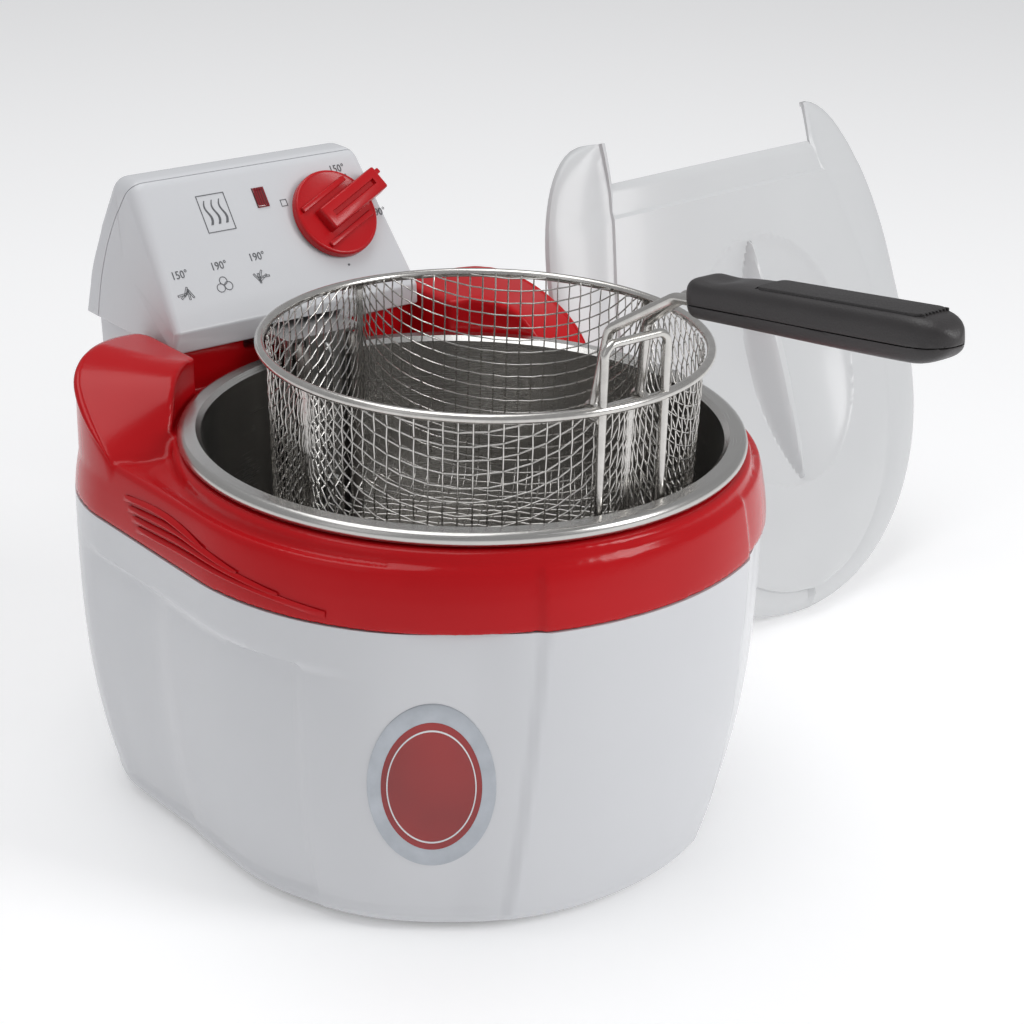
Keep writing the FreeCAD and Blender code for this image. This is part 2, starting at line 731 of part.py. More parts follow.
def make_terminal_block():
    y = rear_reach + 9.0
    z = head_low - rear_box_drop + head_wall + 2
    right = gland_across - terminal_inset
    left = right - terminal_width
    block = box(left, right, y, y + terminal_depth, z, z + terminal_height)
    for share in (0.16, 0.5, 0.84):
        clamp = Vector(left + share * terminal_width, y + 0.5 * terminal_depth, z + 0.5 * terminal_height)
        block = block.cut(cylinder(2.2, terminal_height, clamp))
    return block


def make_switch():
    y = switch_back - 0.5 * switch_depth
    z = head_low + 4.0
    return box(switch_across, switch_across + switch_width, y, y + switch_depth, z, z + switch_height)


def make_gland():
    back = Vector(0, 1, 0)
    start = Vector(gland_across, head_rear - gland_sunk, gland_z)
    end = start + back * gland_length
    outside = gland_radius - 0.1
    sleeve = cylinder(outside, gland_length, start, back)
    face = Vector(gland_across, head_rear - 0.8, gland_z)
    flange = cylinder(gland_radius + gland_lip, gland_lip, face, back)
    nose = Part.makeCone(outside, 0.78 * gland_radius, gland_nose, end, back)
    bore = cylinder(cord_bore, gland_length + gland_nose + 2.0 * proud, start - back * proud, back)
    return sleeve.fuse(flange).fuse(nose).cut(bore)


# ================================================================ heating element
def make_element():
    z = element_height
    over = riser_cross
    x = element_spread
    r = element_reach
    points = [
        Vector(-x, riser_entry, riser_top), Vector(-x, riser_entry, over), Vector(-x, riser_back, over),
        Vector(-x, riser_back, z), Vector(-x, 0.97 * r, z), Vector(-0.95 * r, 0.52 * r, z),
        Vector(-0.95 * r, -0.5 * r, z), Vector(-0.4 * r, -r, z), Vector(0.4 * r, -r, z),
        Vector(0.95 * r, -0.5 * r, z), Vector(0.95 * r, 0.62 * r, z), Vector(0.55 * r, 0.62 * r, z),
        Vector(0.55 * r, -0.36 * r, z), Vector(0.26 * r, -0.62 * r, z), Vector(-0.26 * r, -0.62 * r, z),
        Vector(-0.55 * r, -0.36 * r, z), Vector(-0.55 * r, 0.36 * r, z), Vector(-0.2 * r, 0.55 * r, z),
        Vector(x, 0.8 * r, z), Vector(x, riser_back, z), Vector(x, riser_back, over),
        Vector(x, riser_entry, over), Vector(x, riser_entry, riser_top),
    ]
    bends = [6, 8, 9, 9, 12, 14, 14, 14, 14, 12, 12, 12, 10, 10, 10, 12, 10, 8, 9, 8, 6]
    return bent_wire(points, tube_radius, bends)


def make_element_bracket():
    half = element_spread + tube_radius + bracket_side
    low = riser_cross + tube_radius + moving_gap
    high = low + bracket_plate
    behind = riser_back + tube_radius + 2.0 * moving_gap
    back = box(-half, half, behind, behind + bracket_plate, pot_floor + bracket_foot, high)
    top = box(-half, half, behind, head_front + 8.0, low, high)
    bracket = back.fuse(top)
    middle = Vector(0, behind - proud, riser_cross)
    for x in (-element_spread, element_spread):
        side = tube_radius + fit_gap
        end = behind + bracket_plate + proud
        slot = box(x - side, x + side, behind - proud, end, riser_cross - 2.0 * side, riser_cross + side)
        bracket = bracket.cut(slot)
    return bracket.cut(cylinder(capillary_radius + fit_gap, 4, middle, Vector(0, 1, 0)))


def make_sensor():
    over = riser_cross
    low = Vector(0, riser_back - 1.0, element_height + sensor_rise)
    bulb = cylinder(sensor_radius, sensor_length, low)
    top = low + Vector(0, 0, sensor_length - 2.0)
    thin = bent_wire([top, Vector(0, low.y, over), Vector(0, riser_entry, over),
                      Vector(0, riser_entry, riser_top)], capillary_radius, [6, 6])
    return bulb.fuse(thin)


# ================================================================ basket
def make_basket_rim():
    ring = Part.makeTorus(basket_radius, basket_wire, Vector(0, 0, 0), Vector(0, 0, 1))
    ring.translate(Vector(0, -basket_forward, basket_rim_z))
    return ring


def make_basket_mesh():
    """Plain cup with the true outside of the woven basket and its open mouth."""
    top_radius = basket_radius - basket_wire - 0.2
    low_radius = top_radius - basket_taper
    low = basket_rim_z - basket_depth
    bend = math.sqrt(0.5)

    def p(r, z):
        return Vector(r, 0, z)

    def corner(radius, end_z):
        centre = low_radius - basket_corner
        z = low + basket_corner
        middle = p(centre + radius * bend, z - radius * bend)
        return arc(p(centre, z - radius), middle, p(centre + radius, end_z))

    wall_low = low + basket_corner
    t = basket_sheet
    edges = [
        line(p(0, low), p(low_radius - basket_corner, low)),
        corner(basket_corner, wall_low),
        line(p(low_radius, wall_low), p(top_radius, basket_rim_z)),
        line(p(top_radius, basket_rim_z), p(top_radius - t, basket_rim_z)),
        line(p(top_radius - t, basket_rim_z), p(low_radius - t, wall_low)),
        corner(basket_corner - t, wall_low),
        line(p(low_radius - basket_corner, low + t), p(0, low + t)),
        line(p(0, low + t), p(0, low)),
    ]
    cup = revolved(edges)
    cup.translate(Vector(0, -basket_forward, 0))
    return cup


def bracket_y():
    reach = math.sqrt(basket_radius ** 2 - bracket_half ** 2)
    return -basket_forward - reach + 0.3


def pivot_point():
    return Vector(0, -basket_forward - basket_radius + pivot_inset, basket_rim_z - pivot_drop)


def make_bracket():
    y = bracket_y()
    low = basket_rim_z - bracket_drop
    high = basket_rim_z + bracket_rise
    points = [Vector(-bracket_half, y, low), Vector(-bracket_half, y, high), Vector(bracket_half, y, high),
              Vector(bracket_half, y, low)]
    return bent_wire(points, bracket_wire, [5, 5])


def make_pivot_wire():
    pivot = pivot_point()
    half = bracket_half + 1.0
    y = bracket_y()
    points = [Vector(-half, y, pivot.z), Vector(-half, pivot.y, pivot.z), Vector(half, pivot.y, pivot.z),
              Vector(half, y, pivot.z)]
    return bent_wire(points, pivot_radius, [2, 2])


# ================================================================ folding handle
def grip_place():
    return Placement(Vector(0, -grip_front, grip_z), Rotation(Vector(1, 0, 0), -grip_slope))


def grip_point(x, along, up):
    return grip_place().multVec(Vector(x, -along, up))


def make_handle_wires():
    pivot = pivot_point()
    bar_z = basket_rim_z + bracket_rise
    bar_y = bracket_y()
    eye = pivot_radius + moving_gap + eye_wire
    half = handle_half
    near = wire_spread
    crook = Vector(0, bar_y + 4.7, bar_z + 4.0)
    side = [Vector(half, pivot.y, pivot.z + eye), Vector(0.84 * half, crook.y, crook.z),
            grip_point(near, -5, grip_split), grip_point(near, wire_sunk, grip_split)]
    other = [Vector(-point.x, point.y, point.z) for point in reversed(side)]
    wire = bent_wire(side + other, handle_wire, [6, 8, 3, 3, 8, 6])
    for x in (-half, half):
        ring = Part.makeTorus(eye, eye_wire, Vector(x, pivot.y, pivot.z), Vector(1, 0, 0))
        wire = wire.fuse(ring)
    return wire


def grip_blank(grow):
    half = 0.5 * grip_width + grow
    tall = 0.5 * grip_height + grow
    blank = box(-half, half, -grip_length - grow, grow, -tall, tall)
    long_edges = [edge for edge in blank.Edges if edge.BoundBox.YLength > 50]
    blank = blank.makeFillet(grip_round, long_edges)
    return blank


def grip_half(sign):
    blank = grip_blank(0.0)
    ends = blank.common(cylinder(grip_length * 0.75, 60, Vector(0, -grip_length * 0.75, -30)))
    middle = grip_split + sign * 0.1
    keep = box(-50, 50, -200, 50, middle, 50) if sign > 0 else box(-50, 50, -200, 50, -50, middle)
    piece = ends.common(keep)
    piece.Placement = grip_place()
    piece = piece.cut(wire_channel())
    return piece


def wire_channel():
    near = wire_spread
    room = handle_wire + 0.15
    along = (grip_point(0, 1, 0) - grip_point(0, 0, 0)).normalize()
    length = wire_sunk + room + 5.0
    tunnels = [cylinder(room, length, grip_point(x, -3, grip_split), along) for x in (-near, near)]
    end = grip_point(0, wire_sunk, grip_split)
    across = cylinder(room, 2 * near + 2 * room, end - Vector(near + room, 0, 0), Vector(1, 0, 0))
    return tunnels[0].fuse(tunnels[1]).fuse(across)


def make_grip_pad():
    """Thin textured inlay on top of the grip."""
    top = 0.5 * grip_height + pad_proud
    pad = box(-pad_half, pad_half, -grip_length + pad_end, -pad_start, top - 3.0 * pad_proud, top)
    pad = pad.makeFillet(pad_half - 0.5, [edge for edge in pad.Edges if edge.BoundBox.ZLength > pad_proud])
    pad.Placement = grip_place()
    return pad


def make_grip_screw():
    low = -0.5 * grip_height
    head = cylinder(screw_head_radius, 2.0, Vector(0, -grip_screw_reach, low + 1.0))
    shank = cylinder(screw_radius, 11.0, Vector(0, -grip_screw_reach, low + 3.0))
    screw = head.fuse(shank)
    screw.Placement = grip_place()
    return screw


def screw_room():
    low = -0.5 * grip_height
    room = cylinder(screw_head_radius + 0.1, 4.0, Vector(0, -grip_screw_reach, low - 1.0))
    room = room.fuse(cylinder(screw_radius, 12.0, Vector(0, -grip_screw_reach, low + 2.9)))
    room.Placement = grip_place()
    return room


# ================================================================ lid
def lid_plan(inset, z):
    return plan(lid_half - inset, lid_front - inset, lid_rear - 0.75 * inset, lid_corner - 0.4 * inset, z)


def lid_form(drop, inset):
    sections = [lid_plan(inset, -drop), lid_plan(inset, lid_rim - 0.4 * drop),
                lid_plan(0.35 * lid_shoulder + inset, 0.66 * lid_deck - 0.7 * drop),
                lid_plan(lid_shoulder + inset, lid_deck - drop),
                lid_plan(2.1 * lid_shoulder + inset, lid_crown - drop)]
    return Part.makeLoft(sections, True, True)


def scoop(grow):
    """Oval hollow on both sides of the ridge."""
    ball = Part.makeSphere(1.0)
    stretch = FreeCAD.Matrix()
    stretch.scale(scoop_half_width + grow, scoop_half_length + grow, scoop_depth + grow)
    bowl = ball.transformGeometry(stretch)
    bowl.translate(Vector(0, scoop_centre, lid_crown))
    return bowl


def make_lid():
    outer = lid_form(0.0, 0.0).cut(scoop(0.0))
    outer = outer.cut(box(-lid_notch_half, lid_notch_half, lid_notch, beyond, -beyond, beyond))
    inner = lid_form(lid_wall, lid_wall).cut(scoop(lid_wall))
    room = lid_notch_half + lid_wall
    inner = inner.cut(box(-room, room, lid_notch - lid_wall, beyond, -beyond, beyond))
    shell = outer.cut(inner)
    half = 0.5 * ridge_length
    top = lid_crown + ridge_rise
    bed = lid_crown - scoop_depth - 0.5 * lid_wall
    edge_z = lid_crown - 0.8 * lid_wall
    fin = prism_x([(scoop_centre - half, edge_z), (scoop_centre - 0.72 * half, bed),
                   (scoop_centre + 0.72 * half, bed),
                   (scoop_centre + half, edge_z), (scoop_centre + 0.8 * half, top - 1.5), (scoop_centre, top),
                   (scoop_centre - 0.8 * half, top - 1.5)], 0.5 * ridge_width)
    lid = shell.fuse(fin).removeSplitter()
    lid.translate(Vector(0, lid_front, 0))
    lid.rotate(Vector(0, 0, 0), Vector(1, 0, 0), 90.0 - lid_lean)
    lid.rotate(Vector(0, 0, 0), Vector(0, 0, 1), lid_yaw)
    lid.translate(Vector(lid_foot_x, lid_foot_y, 0))
    return lid


# ================================================================ one file per piece
export(make_outer_body(), "outer_body")
export(make_base_plate(), "base_plate")
export(make_feet(), "rubber_feet")
export(make_base_screws(), "base_screws")
export(make_collar(), "collar")
export(make_pot(), "inner_pot")
export(make_front_housing(), "head_front_housing")
export(make_rear_cover(), "head_rear_cover")
export(make_head_screws(), "head_screws")
export(make_knob(), "knob")
export(make_spindle(), "thermostat_spindle")
export(make_thermostat(), "thermostat_body")
export(make_lens(), "pilot_lens")
export(make_lamp(), "pilot_lamp")
export(make_button(), "reset_button")
export(make_cutout(), "safety_cutout")
export(make_terminal_block(), "terminal_block")
export(make_switch(), "interlock_switch")
export(make_gland(), "cord_gland")
export(make_element(), "heating_element")
export(make_element_bracket(), "element_bracket")
export(make_sensor(), "sensor_bulb")
export(make_basket_rim(), "basket_rim")
export(make_basket_mesh(), "basket_mesh")
export(make_bracket(), "handle_bracket")
export(make_pivot_wire(), "pivot_wire")
export(make_handle_wires(), "handle_wires")
export(grip_half(1).cut(screw_room()).cut(make_grip_pad()), "grip_upper")
export(grip_half(-1).cut(screw_room()), "grip_lower")
export(make_grip_pad(), "grip_pad")
export(make_grip_screw(), "grip_screw")
export(make_lid(), "lid")
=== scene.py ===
import json
import math
import bpy
from mathutils import Matrix, Vector


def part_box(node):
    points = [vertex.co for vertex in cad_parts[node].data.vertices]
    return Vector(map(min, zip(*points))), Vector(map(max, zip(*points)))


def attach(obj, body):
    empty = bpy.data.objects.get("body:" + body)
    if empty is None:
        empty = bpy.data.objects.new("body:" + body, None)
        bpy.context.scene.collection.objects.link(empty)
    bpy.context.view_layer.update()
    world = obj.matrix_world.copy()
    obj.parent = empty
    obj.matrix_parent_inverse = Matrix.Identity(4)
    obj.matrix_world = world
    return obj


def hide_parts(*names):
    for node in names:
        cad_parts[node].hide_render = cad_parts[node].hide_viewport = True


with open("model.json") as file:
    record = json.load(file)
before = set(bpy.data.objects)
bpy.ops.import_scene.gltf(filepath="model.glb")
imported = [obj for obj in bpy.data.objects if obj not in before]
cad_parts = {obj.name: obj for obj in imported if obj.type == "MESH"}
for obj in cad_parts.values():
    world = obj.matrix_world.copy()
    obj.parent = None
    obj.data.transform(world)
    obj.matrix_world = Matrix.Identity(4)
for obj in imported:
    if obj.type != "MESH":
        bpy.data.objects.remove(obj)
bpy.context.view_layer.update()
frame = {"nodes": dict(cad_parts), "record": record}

# A household deep fryer with its basket raised to drain and its lid stood beside it.
# Metres, +Z up, -Y to the front; the axis of the round pot stands on the origin.

MM = 0.001
bpy.context.scene.view_settings.view_transform = "Standard"

# ------------------------------------------------------------ sizes read from the frame
collar_low, collar_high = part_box("collar")
pot_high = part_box("inner_pot")[1]
rim_low, rim_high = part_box("basket_rim")
mesh_low, mesh_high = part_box("basket_mesh")
housing_low, housing_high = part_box("head_front_housing")
cover_low, cover_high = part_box("head_rear_cover")
half_width = collar_high.x
front_reach = -collar_low.y
rear_reach = collar_high.y
rear_corner = 0.507 * rear_reach
collar_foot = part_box("outer_body")[1].z
rim_top = pot_high.z
rim_reach = pot_high.x


# ============================================================ finishes
class Amount:
    """A number that changes over a surface, so that sums of them read as sums."""

    def __init__(self, finish, socket):
        self.finish = finish
        self.socket = socket

    def sum(self, operation, *others):
        return self.finish.node("ShaderNodeMath", {"operation": operation}, self, *others)

    def __add__(self, other):
        return self.sum("ADD", other)

    def __radd__(self, other):
        return self.sum("ADD", other)

    def __sub__(self, other):
        return self.sum("SUBTRACT", other)

    def __rsub__(self, other):
        return self.finish.node("ShaderNodeMath", {"operation": "SUBTRACT"}, other, self)

    def __mul__(self, other):
        return self.sum("MULTIPLY", other)

    def __rmul__(self, other):
        return self.sum("MULTIPLY", other)

    def __truediv__(self, other):
        return self.sum("DIVIDE", other)

    def power(self, exponent):
        return self.sum("POWER", exponent)


class Finish:
    """A material built from one Principled shader and the nodes that vary it."""

    def __init__(self, name, colour, roughness, metallic=0.0, **fixed):
        self.material = bpy.data.materials.new(name)
        self.material.use_nodes = True
        self.tree = self.material.node_tree
        self.shader = self.tree.nodes["Principled BSDF"]
        self.set("Base Color", (*colour, 1.0))
        self.set("Roughness", roughness)
        self.set("Metallic", metallic)
        for socket, value in fixed.items():
            self.set(socket.replace("_", " "), value)

    def set(self, name, value):
        self.join(self.shader.inputs[name], value)

    def join(self, socket, value):
        if isinstance(value, Amount):
            self.tree.links.new(value.socket, socket)
        else:
            socket.default_value = value

    def node(self, kind, settings, *values, out=0, **named):
        node = self.tree.nodes.new(kind)
        for key, setting in settings.items():
            setattr(node, key, setting)
        for socket, value in zip(node.inputs, values):
            self.join(socket, value)
        for key, value in named.items():
            self.join(node.inputs[key.replace("_", " ")], value)
        return Amount(self, node.outputs[out])

    def place(self):
        return self.node("ShaderNodeTexCoord", {}, out="Object")

    def grain(self, scale, detail=3.0, rough=0.5, stretch=(1, 1, 1)):
        """Soft noise from 0 to 1, in cells per metre."""
        vector = self.node("ShaderNodeMapping", {}, self.place(), Scale=stretch)
        return self.node("ShaderNodeTexNoise", {}, Vector=vector, Scale=scale, Detail=detail, Roughness=rough)

    def cells(self, scale, kind="F1"):
        return self.node("ShaderNodeTexVoronoi", {"feature": kind}, Vector=self.place(), Scale=scale)

    def mixed(self, share, first, second):
        mix = self.tree.nodes.new("ShaderNodeMix")
        mix.data_type = "RGBA"
        self.join(mix.inputs[0], share)
        self.join(mix.inputs[6], first if isinstance(first, Amount) else (*first, 1.0))
        self.join(mix.inputs[7], second if isinstance(second, Amount) else (*second, 1.0))
        return Amount(self, mix.outputs[2])

    def bump(self, height, strength, distance):
        normal = self.node("ShaderNodeBump", {}, Height=height, Strength=strength, Distance=distance)
        self.set("Normal", normal)


def gloss_plastic(name, colour, shade, roughness=0.16, coat=0.35, shine=0.5):
    """Glossy injection moulding: a faint mottle in the colour and a very soft orange peel."""
    f = Finish(name, colour, roughness,
               Coat_Weight=coat, Coat_Roughness=0.06, IOR=1.5, Specular_IOR_Level=shine)
    mottle = f.grain(22.0, 2.0)
    peel = f.grain(420.0, 2.0)
    wear = f.grain(95.0, 5.0, 0.65)
    f.set("Base Color", f.mixed(mottle, colour, shade))
    f.set("Roughness", wear * 0.10 + (roughness - 0.03))
    f.bump(peel, 0.035, 0.0006)
    return f.material


def spun_steel(name, colour, roughness, centre=(0.0, 0.0), lines=5200.0):
    """Spun and polished sheet: fine rings round the axis, with slow clouds of polish."""
    f = Finish(name, colour, roughness, 1.0)
    at = f.node("ShaderNodeSeparateXYZ", {}, f.place(), out="X")
    split = at.socket.node
    x = Amount(f, split.outputs["X"]) - centre[0]
    y = Amount(f, split.outputs["Y"]) - centre[1]
    z = Amount(f, split.outputs["Z"])
    radius = (x * x + y * y).power(0.5)
    ring_place = f.node("ShaderNodeCombineXYZ", {}, radius, z, 0.0)
    rings = f.node("ShaderNodeTexNoise", {}, Vector=ring_place, Scale=lines, Detail=2.0)
    clouds = f.grain(30.0, 4.0, 0.6)
    f.set("Base Color", f.mixed(clouds, colour, tuple(0.86 * c for c in colour)))
    f.set("Roughness", rings * 0.12 + clouds * 0.10 + (roughness - 0.1))
    f.bump(rings, 0.06, 0.0002)
    return f.material


def bright_wire(name, colour, roughness=0.12):
    """Nickel plated wire, with a few dull patches where food has rubbed it."""
    f = Finish(name, colour, roughness, 1.0)
    clouds = f.grain(160.0, 4.0, 0.6)
    pits = f.grain(1400.0, 2.0)
    f.set("Base Color", f.mixed(clouds, colour, tuple(0.62 * c for c in colour)))
    f.set("Roughness", clouds * 0.22 + roughness)
    f.bump(pits, 0.10, 0.0002)
    return f.material


def plain_metal(name, colour, roughness, scale=600.0, dull=0.2):
    f = Finish(name, colour, roughness, 1.0)
    clouds = f.grain(scale, 4.0, 0.6)
    f.set("Base Color", f.mixed(clouds, colour, tuple(0.72 * c for c in colour)))
    f.set("Roughness", clouds * dull + roughness)
    f.bump(clouds, 0.08, 0.0002)
    return f.material


def textured_moulding(name, colour, roughness, cell=2600.0, depth=0.00012):
    """Dull thermoset moulding with a spark-eroded grain, polished a little where it is held."""
    f = Finish(name, colour, roughness, IOR=1.5)
    pebble = f.cells(cell)
    fine = f.grain(3800.0, 3.0)
    worn = f.grain(38.0, 3.0)
    f.set("Base Color", f.mixed(worn, colour, tuple(1.7 * c for c in colour)))
    f.set("Roughness", fine * 0.18 + worn * 0.14 + (roughness - 0.14))
    f.bump(pebble + fine * 0.6, 0.55, depth)
    return f.material


def matt_rubber(name, colour):
    f = Finish(name, colour, 0.75)
    dust = f.grain(260.0, 4.0)
    f.set("Base Color", f.mixed(dust, colour, tuple(2.2 * c for c in colour)))
    f.set("Roughness", dust * 0.2 + 0.62)
    f.bump(dust, 0.2, 0.0002)
    return f.material


def tinted_lens(name, colour, glow):
    f = Finish(name, colour, 0.08, Transmission_Weight=0.25, Coat_Weight=0.6, IOR=1.49)
    ribs = f.node("ShaderNodeTexWave", {"bands_direction": "X"},
                  Vector=f.place(), Scale=260.0, Distortion=0.0)
    f.set("Base Color", f.mixed(ribs, colour, tuple(0.35 * c for c in colour)))
    f.set("Emission Color", f.mixed(ribs, glow, tuple(0.2 * c for c in glow)))
    f.set("Emission Strength", 0.25)
    f.set("Roughness", ribs * 0.1 + 0.05)
    return f.material


def printed_ink(name, colour):
    f = Finish(name, colour, 0.42)
    dots = f.grain(2400.0, 2.0)
    f.set("Base Color", f.mixed(dots, colour, tuple(1.5 * c for c in colour)))
    f.set("Roughness", dots * 0.15 + 0.35)
    return f.material


WHITE = (0.665, 0.672, 0.692)
WHITE_SHADE = (0.638, 0.646, 0.668)
LID_WHITE = (0.650, 0.656, 0.662)
LID_SHADE = (0.622, 0.630, 0.638)
RED = (0.520, 0.007, 0.011)
RED_SHADE = (0.440, 0.004, 0.007)

finishes = {
    "white_shell": gloss_plastic("white_shell", WHITE, WHITE_SHADE, 0.22, 0.06, 0.26),
    "white_lid": gloss_plastic("white_lid", LID_WHITE, LID_SHADE, 0.22, 0.06, 0.26),
    "red_shell": gloss_plastic("red_shell", RED, RED_SHADE, 0.16, 0.04, 0.2),
    "red_knob": gloss_plastic("red_knob", RED, RED_SHADE, 0.24, 0.05, 0.3),
    "dark_moulding": textured_moulding("dark_moulding", (0.045, 0.045, 0.048), 0.55),
    "foot_rubber": matt_rubber("foot_rubber", (0.022, 0.022, 0.022)),
    "gland_rubber": matt_rubber("gland_rubber", (0.030, 0.030, 0.031)),
    "zinc_screw": plain_metal("zinc_screw", (0.66, 0.66, 0.64), 0.25, 900.0),
    "pot_steel": spun_steel("pot_steel", (0.60, 0.59, 0.57), 0.24),
    "brass_spindle": plain_metal("brass_spindle", (0.72, 0.53, 0.23), 0.22, 900.0),
    "red_lens": tinted_lens("red_lens", (0.20, 0.003, 0.010), (0.35, 0.004, 0.012)),
    "lamp_glass": tinted_lens("lamp_glass", (0.85, 0.70, 0.62), (0.5, 0.2, 0.1)),
    "white_insulator": textured_moulding("white_insulator", (0.42, 0.42, 0.40), 0.5),
    "element_tube": plain_metal("element_tube", (0.30, 0.28, 0.26), 0.38, 240.0, 0.3),
    "bracket_steel": plain_metal("bracket_steel", (0.56, 0.56, 0.55), 0.26, 300.0),
    "basket_wire": bright_wire("basket_wire", (0.74, 0.72, 0.69)),
    "black_grip": textured_moulding("black_grip", (0.0240, 0.0215, 0.0220), 0.42, 1500.0, 0.00010),
}
pad_finish = textured_moulding("grip_pad_grain", (0.0230, 0.0210, 0.0215), 0.60, 900.0, 0.00035)
ink = printed_ink("grey_print", (0.085, 0.088, 0.095))
badge_silver = plain_metal("badge_silver", (0.50, 0.53, 0.57), 0.34, 90.0)
badge_red = gloss_plastic("badge_red", (0.42, 0.012, 0.012), (0.17, 0.006, 0.006), 0.12)
badge_line = gloss_plastic("badge_line", (0.78, 0.79, 0.80), (0.66, 0.67, 0.69), 0.2)

for entry in frame["record"]["subparts"]:
    node = frame["nodes"][entry["node"]]
    node.data.materials.clear()
    node.data.materials.append(finishes[entry["material_slot"]])
frame["nodes"]["grip_pad"].data.materials[0] = pad_finish


# ============================================================ making pieces
def clear_choice():
    if bpy.context.object and bpy.context.object.mode != "OBJECT":
        bpy.ops.object.mode_set(mode="OBJECT")
    bpy.ops.object.select_all(action="DESELECT")


def choose(piece):
    clear_choice()
    piece.select_set(True)
    bpy.context.view_layer.objects.active = piece
    return piece


def new_piece(name):
    """The primitive just added, named, and the only thing chosen."""
    piece = bpy.context.object
    piece.name = name
    piece.data.name = name
    return choose(piece)


def editing(piece):
    choose(piece)
    bpy.ops.object.mode_set(mode="EDIT")


def choose_parts(piece, test, kind="VERT"):
    """In edit mode, choose the corners, edges or faces whose centre passes the test."""
    bpy.ops.mesh.select_all(action="DESELECT")
    bpy.ops.mesh.select_mode(type=kind)
    bpy.ops.object.mode_set(mode="OBJECT")
    mesh = piece.data
    if kind == "VERT":
        for corner in mesh.vertices:
            corner.select = test(corner.co)
    elif kind == "EDGE":
        for edge in mesh.edges:
            a, b = (mesh.vertices[index].co for index in edge.vertices)
            edge.select = test(a, b)
    else:
        for face in mesh.polygons:
            face.select = test(face)
    bpy.ops.object.mode_set(mode="EDIT")


def done_editing():
    bpy.ops.object.mode_set(mode="OBJECT")


def closed_up(piece, distance=0.00001):
    editing(piece)
    bpy.ops.mesh.select_all(action="SELECT")
    bpy.ops.mesh.remove_doubles(threshold=distance)
    bpy.ops.mesh.normals_make_consistent(inside=False)
    done_editing()


def modifier(piece, kind, **settings):
    """Add a modifier with its settings and apply it."""
    choose(piece)
    added = piece.modifiers.new(kind.lower(), kind)
    for key, value in settings.items():
        setattr(added, key, value)
    bpy.ops.object.modifier_apply(modifier=added.name)


def smooth(piece, angle=35.0):
    choose(piece)
    bpy.ops.object.shade_smooth_by_angle(angle=math.radians(angle))


def settled(piece):
    """Put the piece's place, turn and size into its mesh."""
    choose(piece)
    bpy.ops.object.transform_apply(location=True, rotation=True, scale=True)


def finished(piece, finish, body, slot, *nodes):
    """Give a piece its material, its body and the nodes that it stands for."""
    settled(piece)
    piece.data.materials.clear()
    piece.data.materials.append(finish)
    if nodes:
        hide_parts(*nodes)
    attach(piece, body)
    return piece


def skin(name, rows, closed=False):
    """A sheet through rows of points: a grid whose corners are moved onto them."""
    columns = len(rows[0])
    clear_choice()
    bpy.ops.mesh.primitive_grid_add(x_subdivisions=columns - 1, y_subdivisions=len(rows) - 1, size=1.0)
    piece = new_piece(name)
    points = [Vector(point) for row in rows for point in row]
    for corner, point in zip(piece.data.vertices, points):
        corner.co = point
    piece.data.update()
    if closed:
        closed_up(piece)
    return piece


def joined(name, *pieces):
    clear_choice()
    for piece in pieces:
        piece.select_set(True)
    bpy.context.view_layer.objects.active = pieces[0]
    bpy.ops.object.join()
    return new_piece(name)


def capped(rows):
    """Close a tube of rows with a point in the middle of each end row."""
    caps = []
    for level in (rows[0], rows[-1]):
        middle = sum((Vector(point) for point in level[:-1]), Vector()) / (len(level) - 1)
        caps.append([tuple(middle)] * len(level))
    return [caps[0], *rows, caps[1]]


def make_wire(name, radius, routes, roundness, filled=False):
    """Round wire along each of the routes, as one mesh."""
    curve = bpy.data.curves.new(name, "CURVE")
    curve.dimensions = "3D"
    curve.bevel_depth = radius
    curve.bevel_resolution = roundness
    curve.use_fill_caps = filled
    for route in routes:
        spline = curve.splines.new("POLY")
        spline.points.add(len(route) - 1)
        for place, point in zip(spline.points, route):
            place.co = (*point, 1.0)
    wire = bpy.data.objects.new(name, curve)
    bpy.context.scene.collection.objects.link(wire)
    choose(wire)
    bpy.ops.object.convert(target="MESH")
    return new_piece(name)


def removed(piece):
    bpy.data.objects.remove(piece, do_unlink=True)


def cut_by(piece, cutter, operation="DIFFERENCE"):
    modifier(piece, "BOOLEAN", object=cutter, operation=operation, solver="EXACT")
    removed(cutter)


def copied(piece, name):
    choose(piece)
    bpy.ops.object.duplicate()
    return new_piece(name)


def make_drum(name, radius, length, base, way=(0, 0, 1), sides=48):
    """A plain round bar used as a cutter or as the start of a turned piece."""
    way = Vector(way)
    clear_choice()
    middle = Vector(base) + way * (0.5 * length)
    turn = way.to_track_quat("Z", "Y").to_euler()
    bpy.ops.mesh.primitive_cylinder_add(vertices=sides, radius=radius, depth=length,
                                        location=middle, rotation=turn)
    piece = new_piece(name)
    settled(piece)
    return piece


def make_block(name, low, high, edge=0.0, segments=3):
    """A block from corner to corner with rounded edges."""
    low, high = Vector(low), Vector(high)
    clear_choice()
    bpy.ops.mesh.primitive_cube_add(size=1.0, location=(low + high) / 2, scale=high - low)
    piece = new_piece(name)
    settled(piece)
    if edge:
        editing(piece)
        bpy.ops.mesh.select_all(action="SELECT")
        bpy.ops.mesh.bevel(offset=edge, segments=segments, affect="EDGES")
        done_editing()
    return piece


def ease(value, low, high):
    """0 below low, 1 above high and a smooth step between."""
    share = min(1.0, max(0.0, (value - low) / (high - low)))
    return share * share * (3.0 - 2.0 * share)


def blend_between(a, b, share):
    return a + (b - a) * share


# ============================================================ camera, floor and light
VIEW_TURN = -39.67
VIEW_RISE = 23.17
VIEW_ROLL = 1.57
VIEW_DISTANCE = 0.9423
VIEW_AIM = Vector((0.0249, -0.0028, 0.1289))


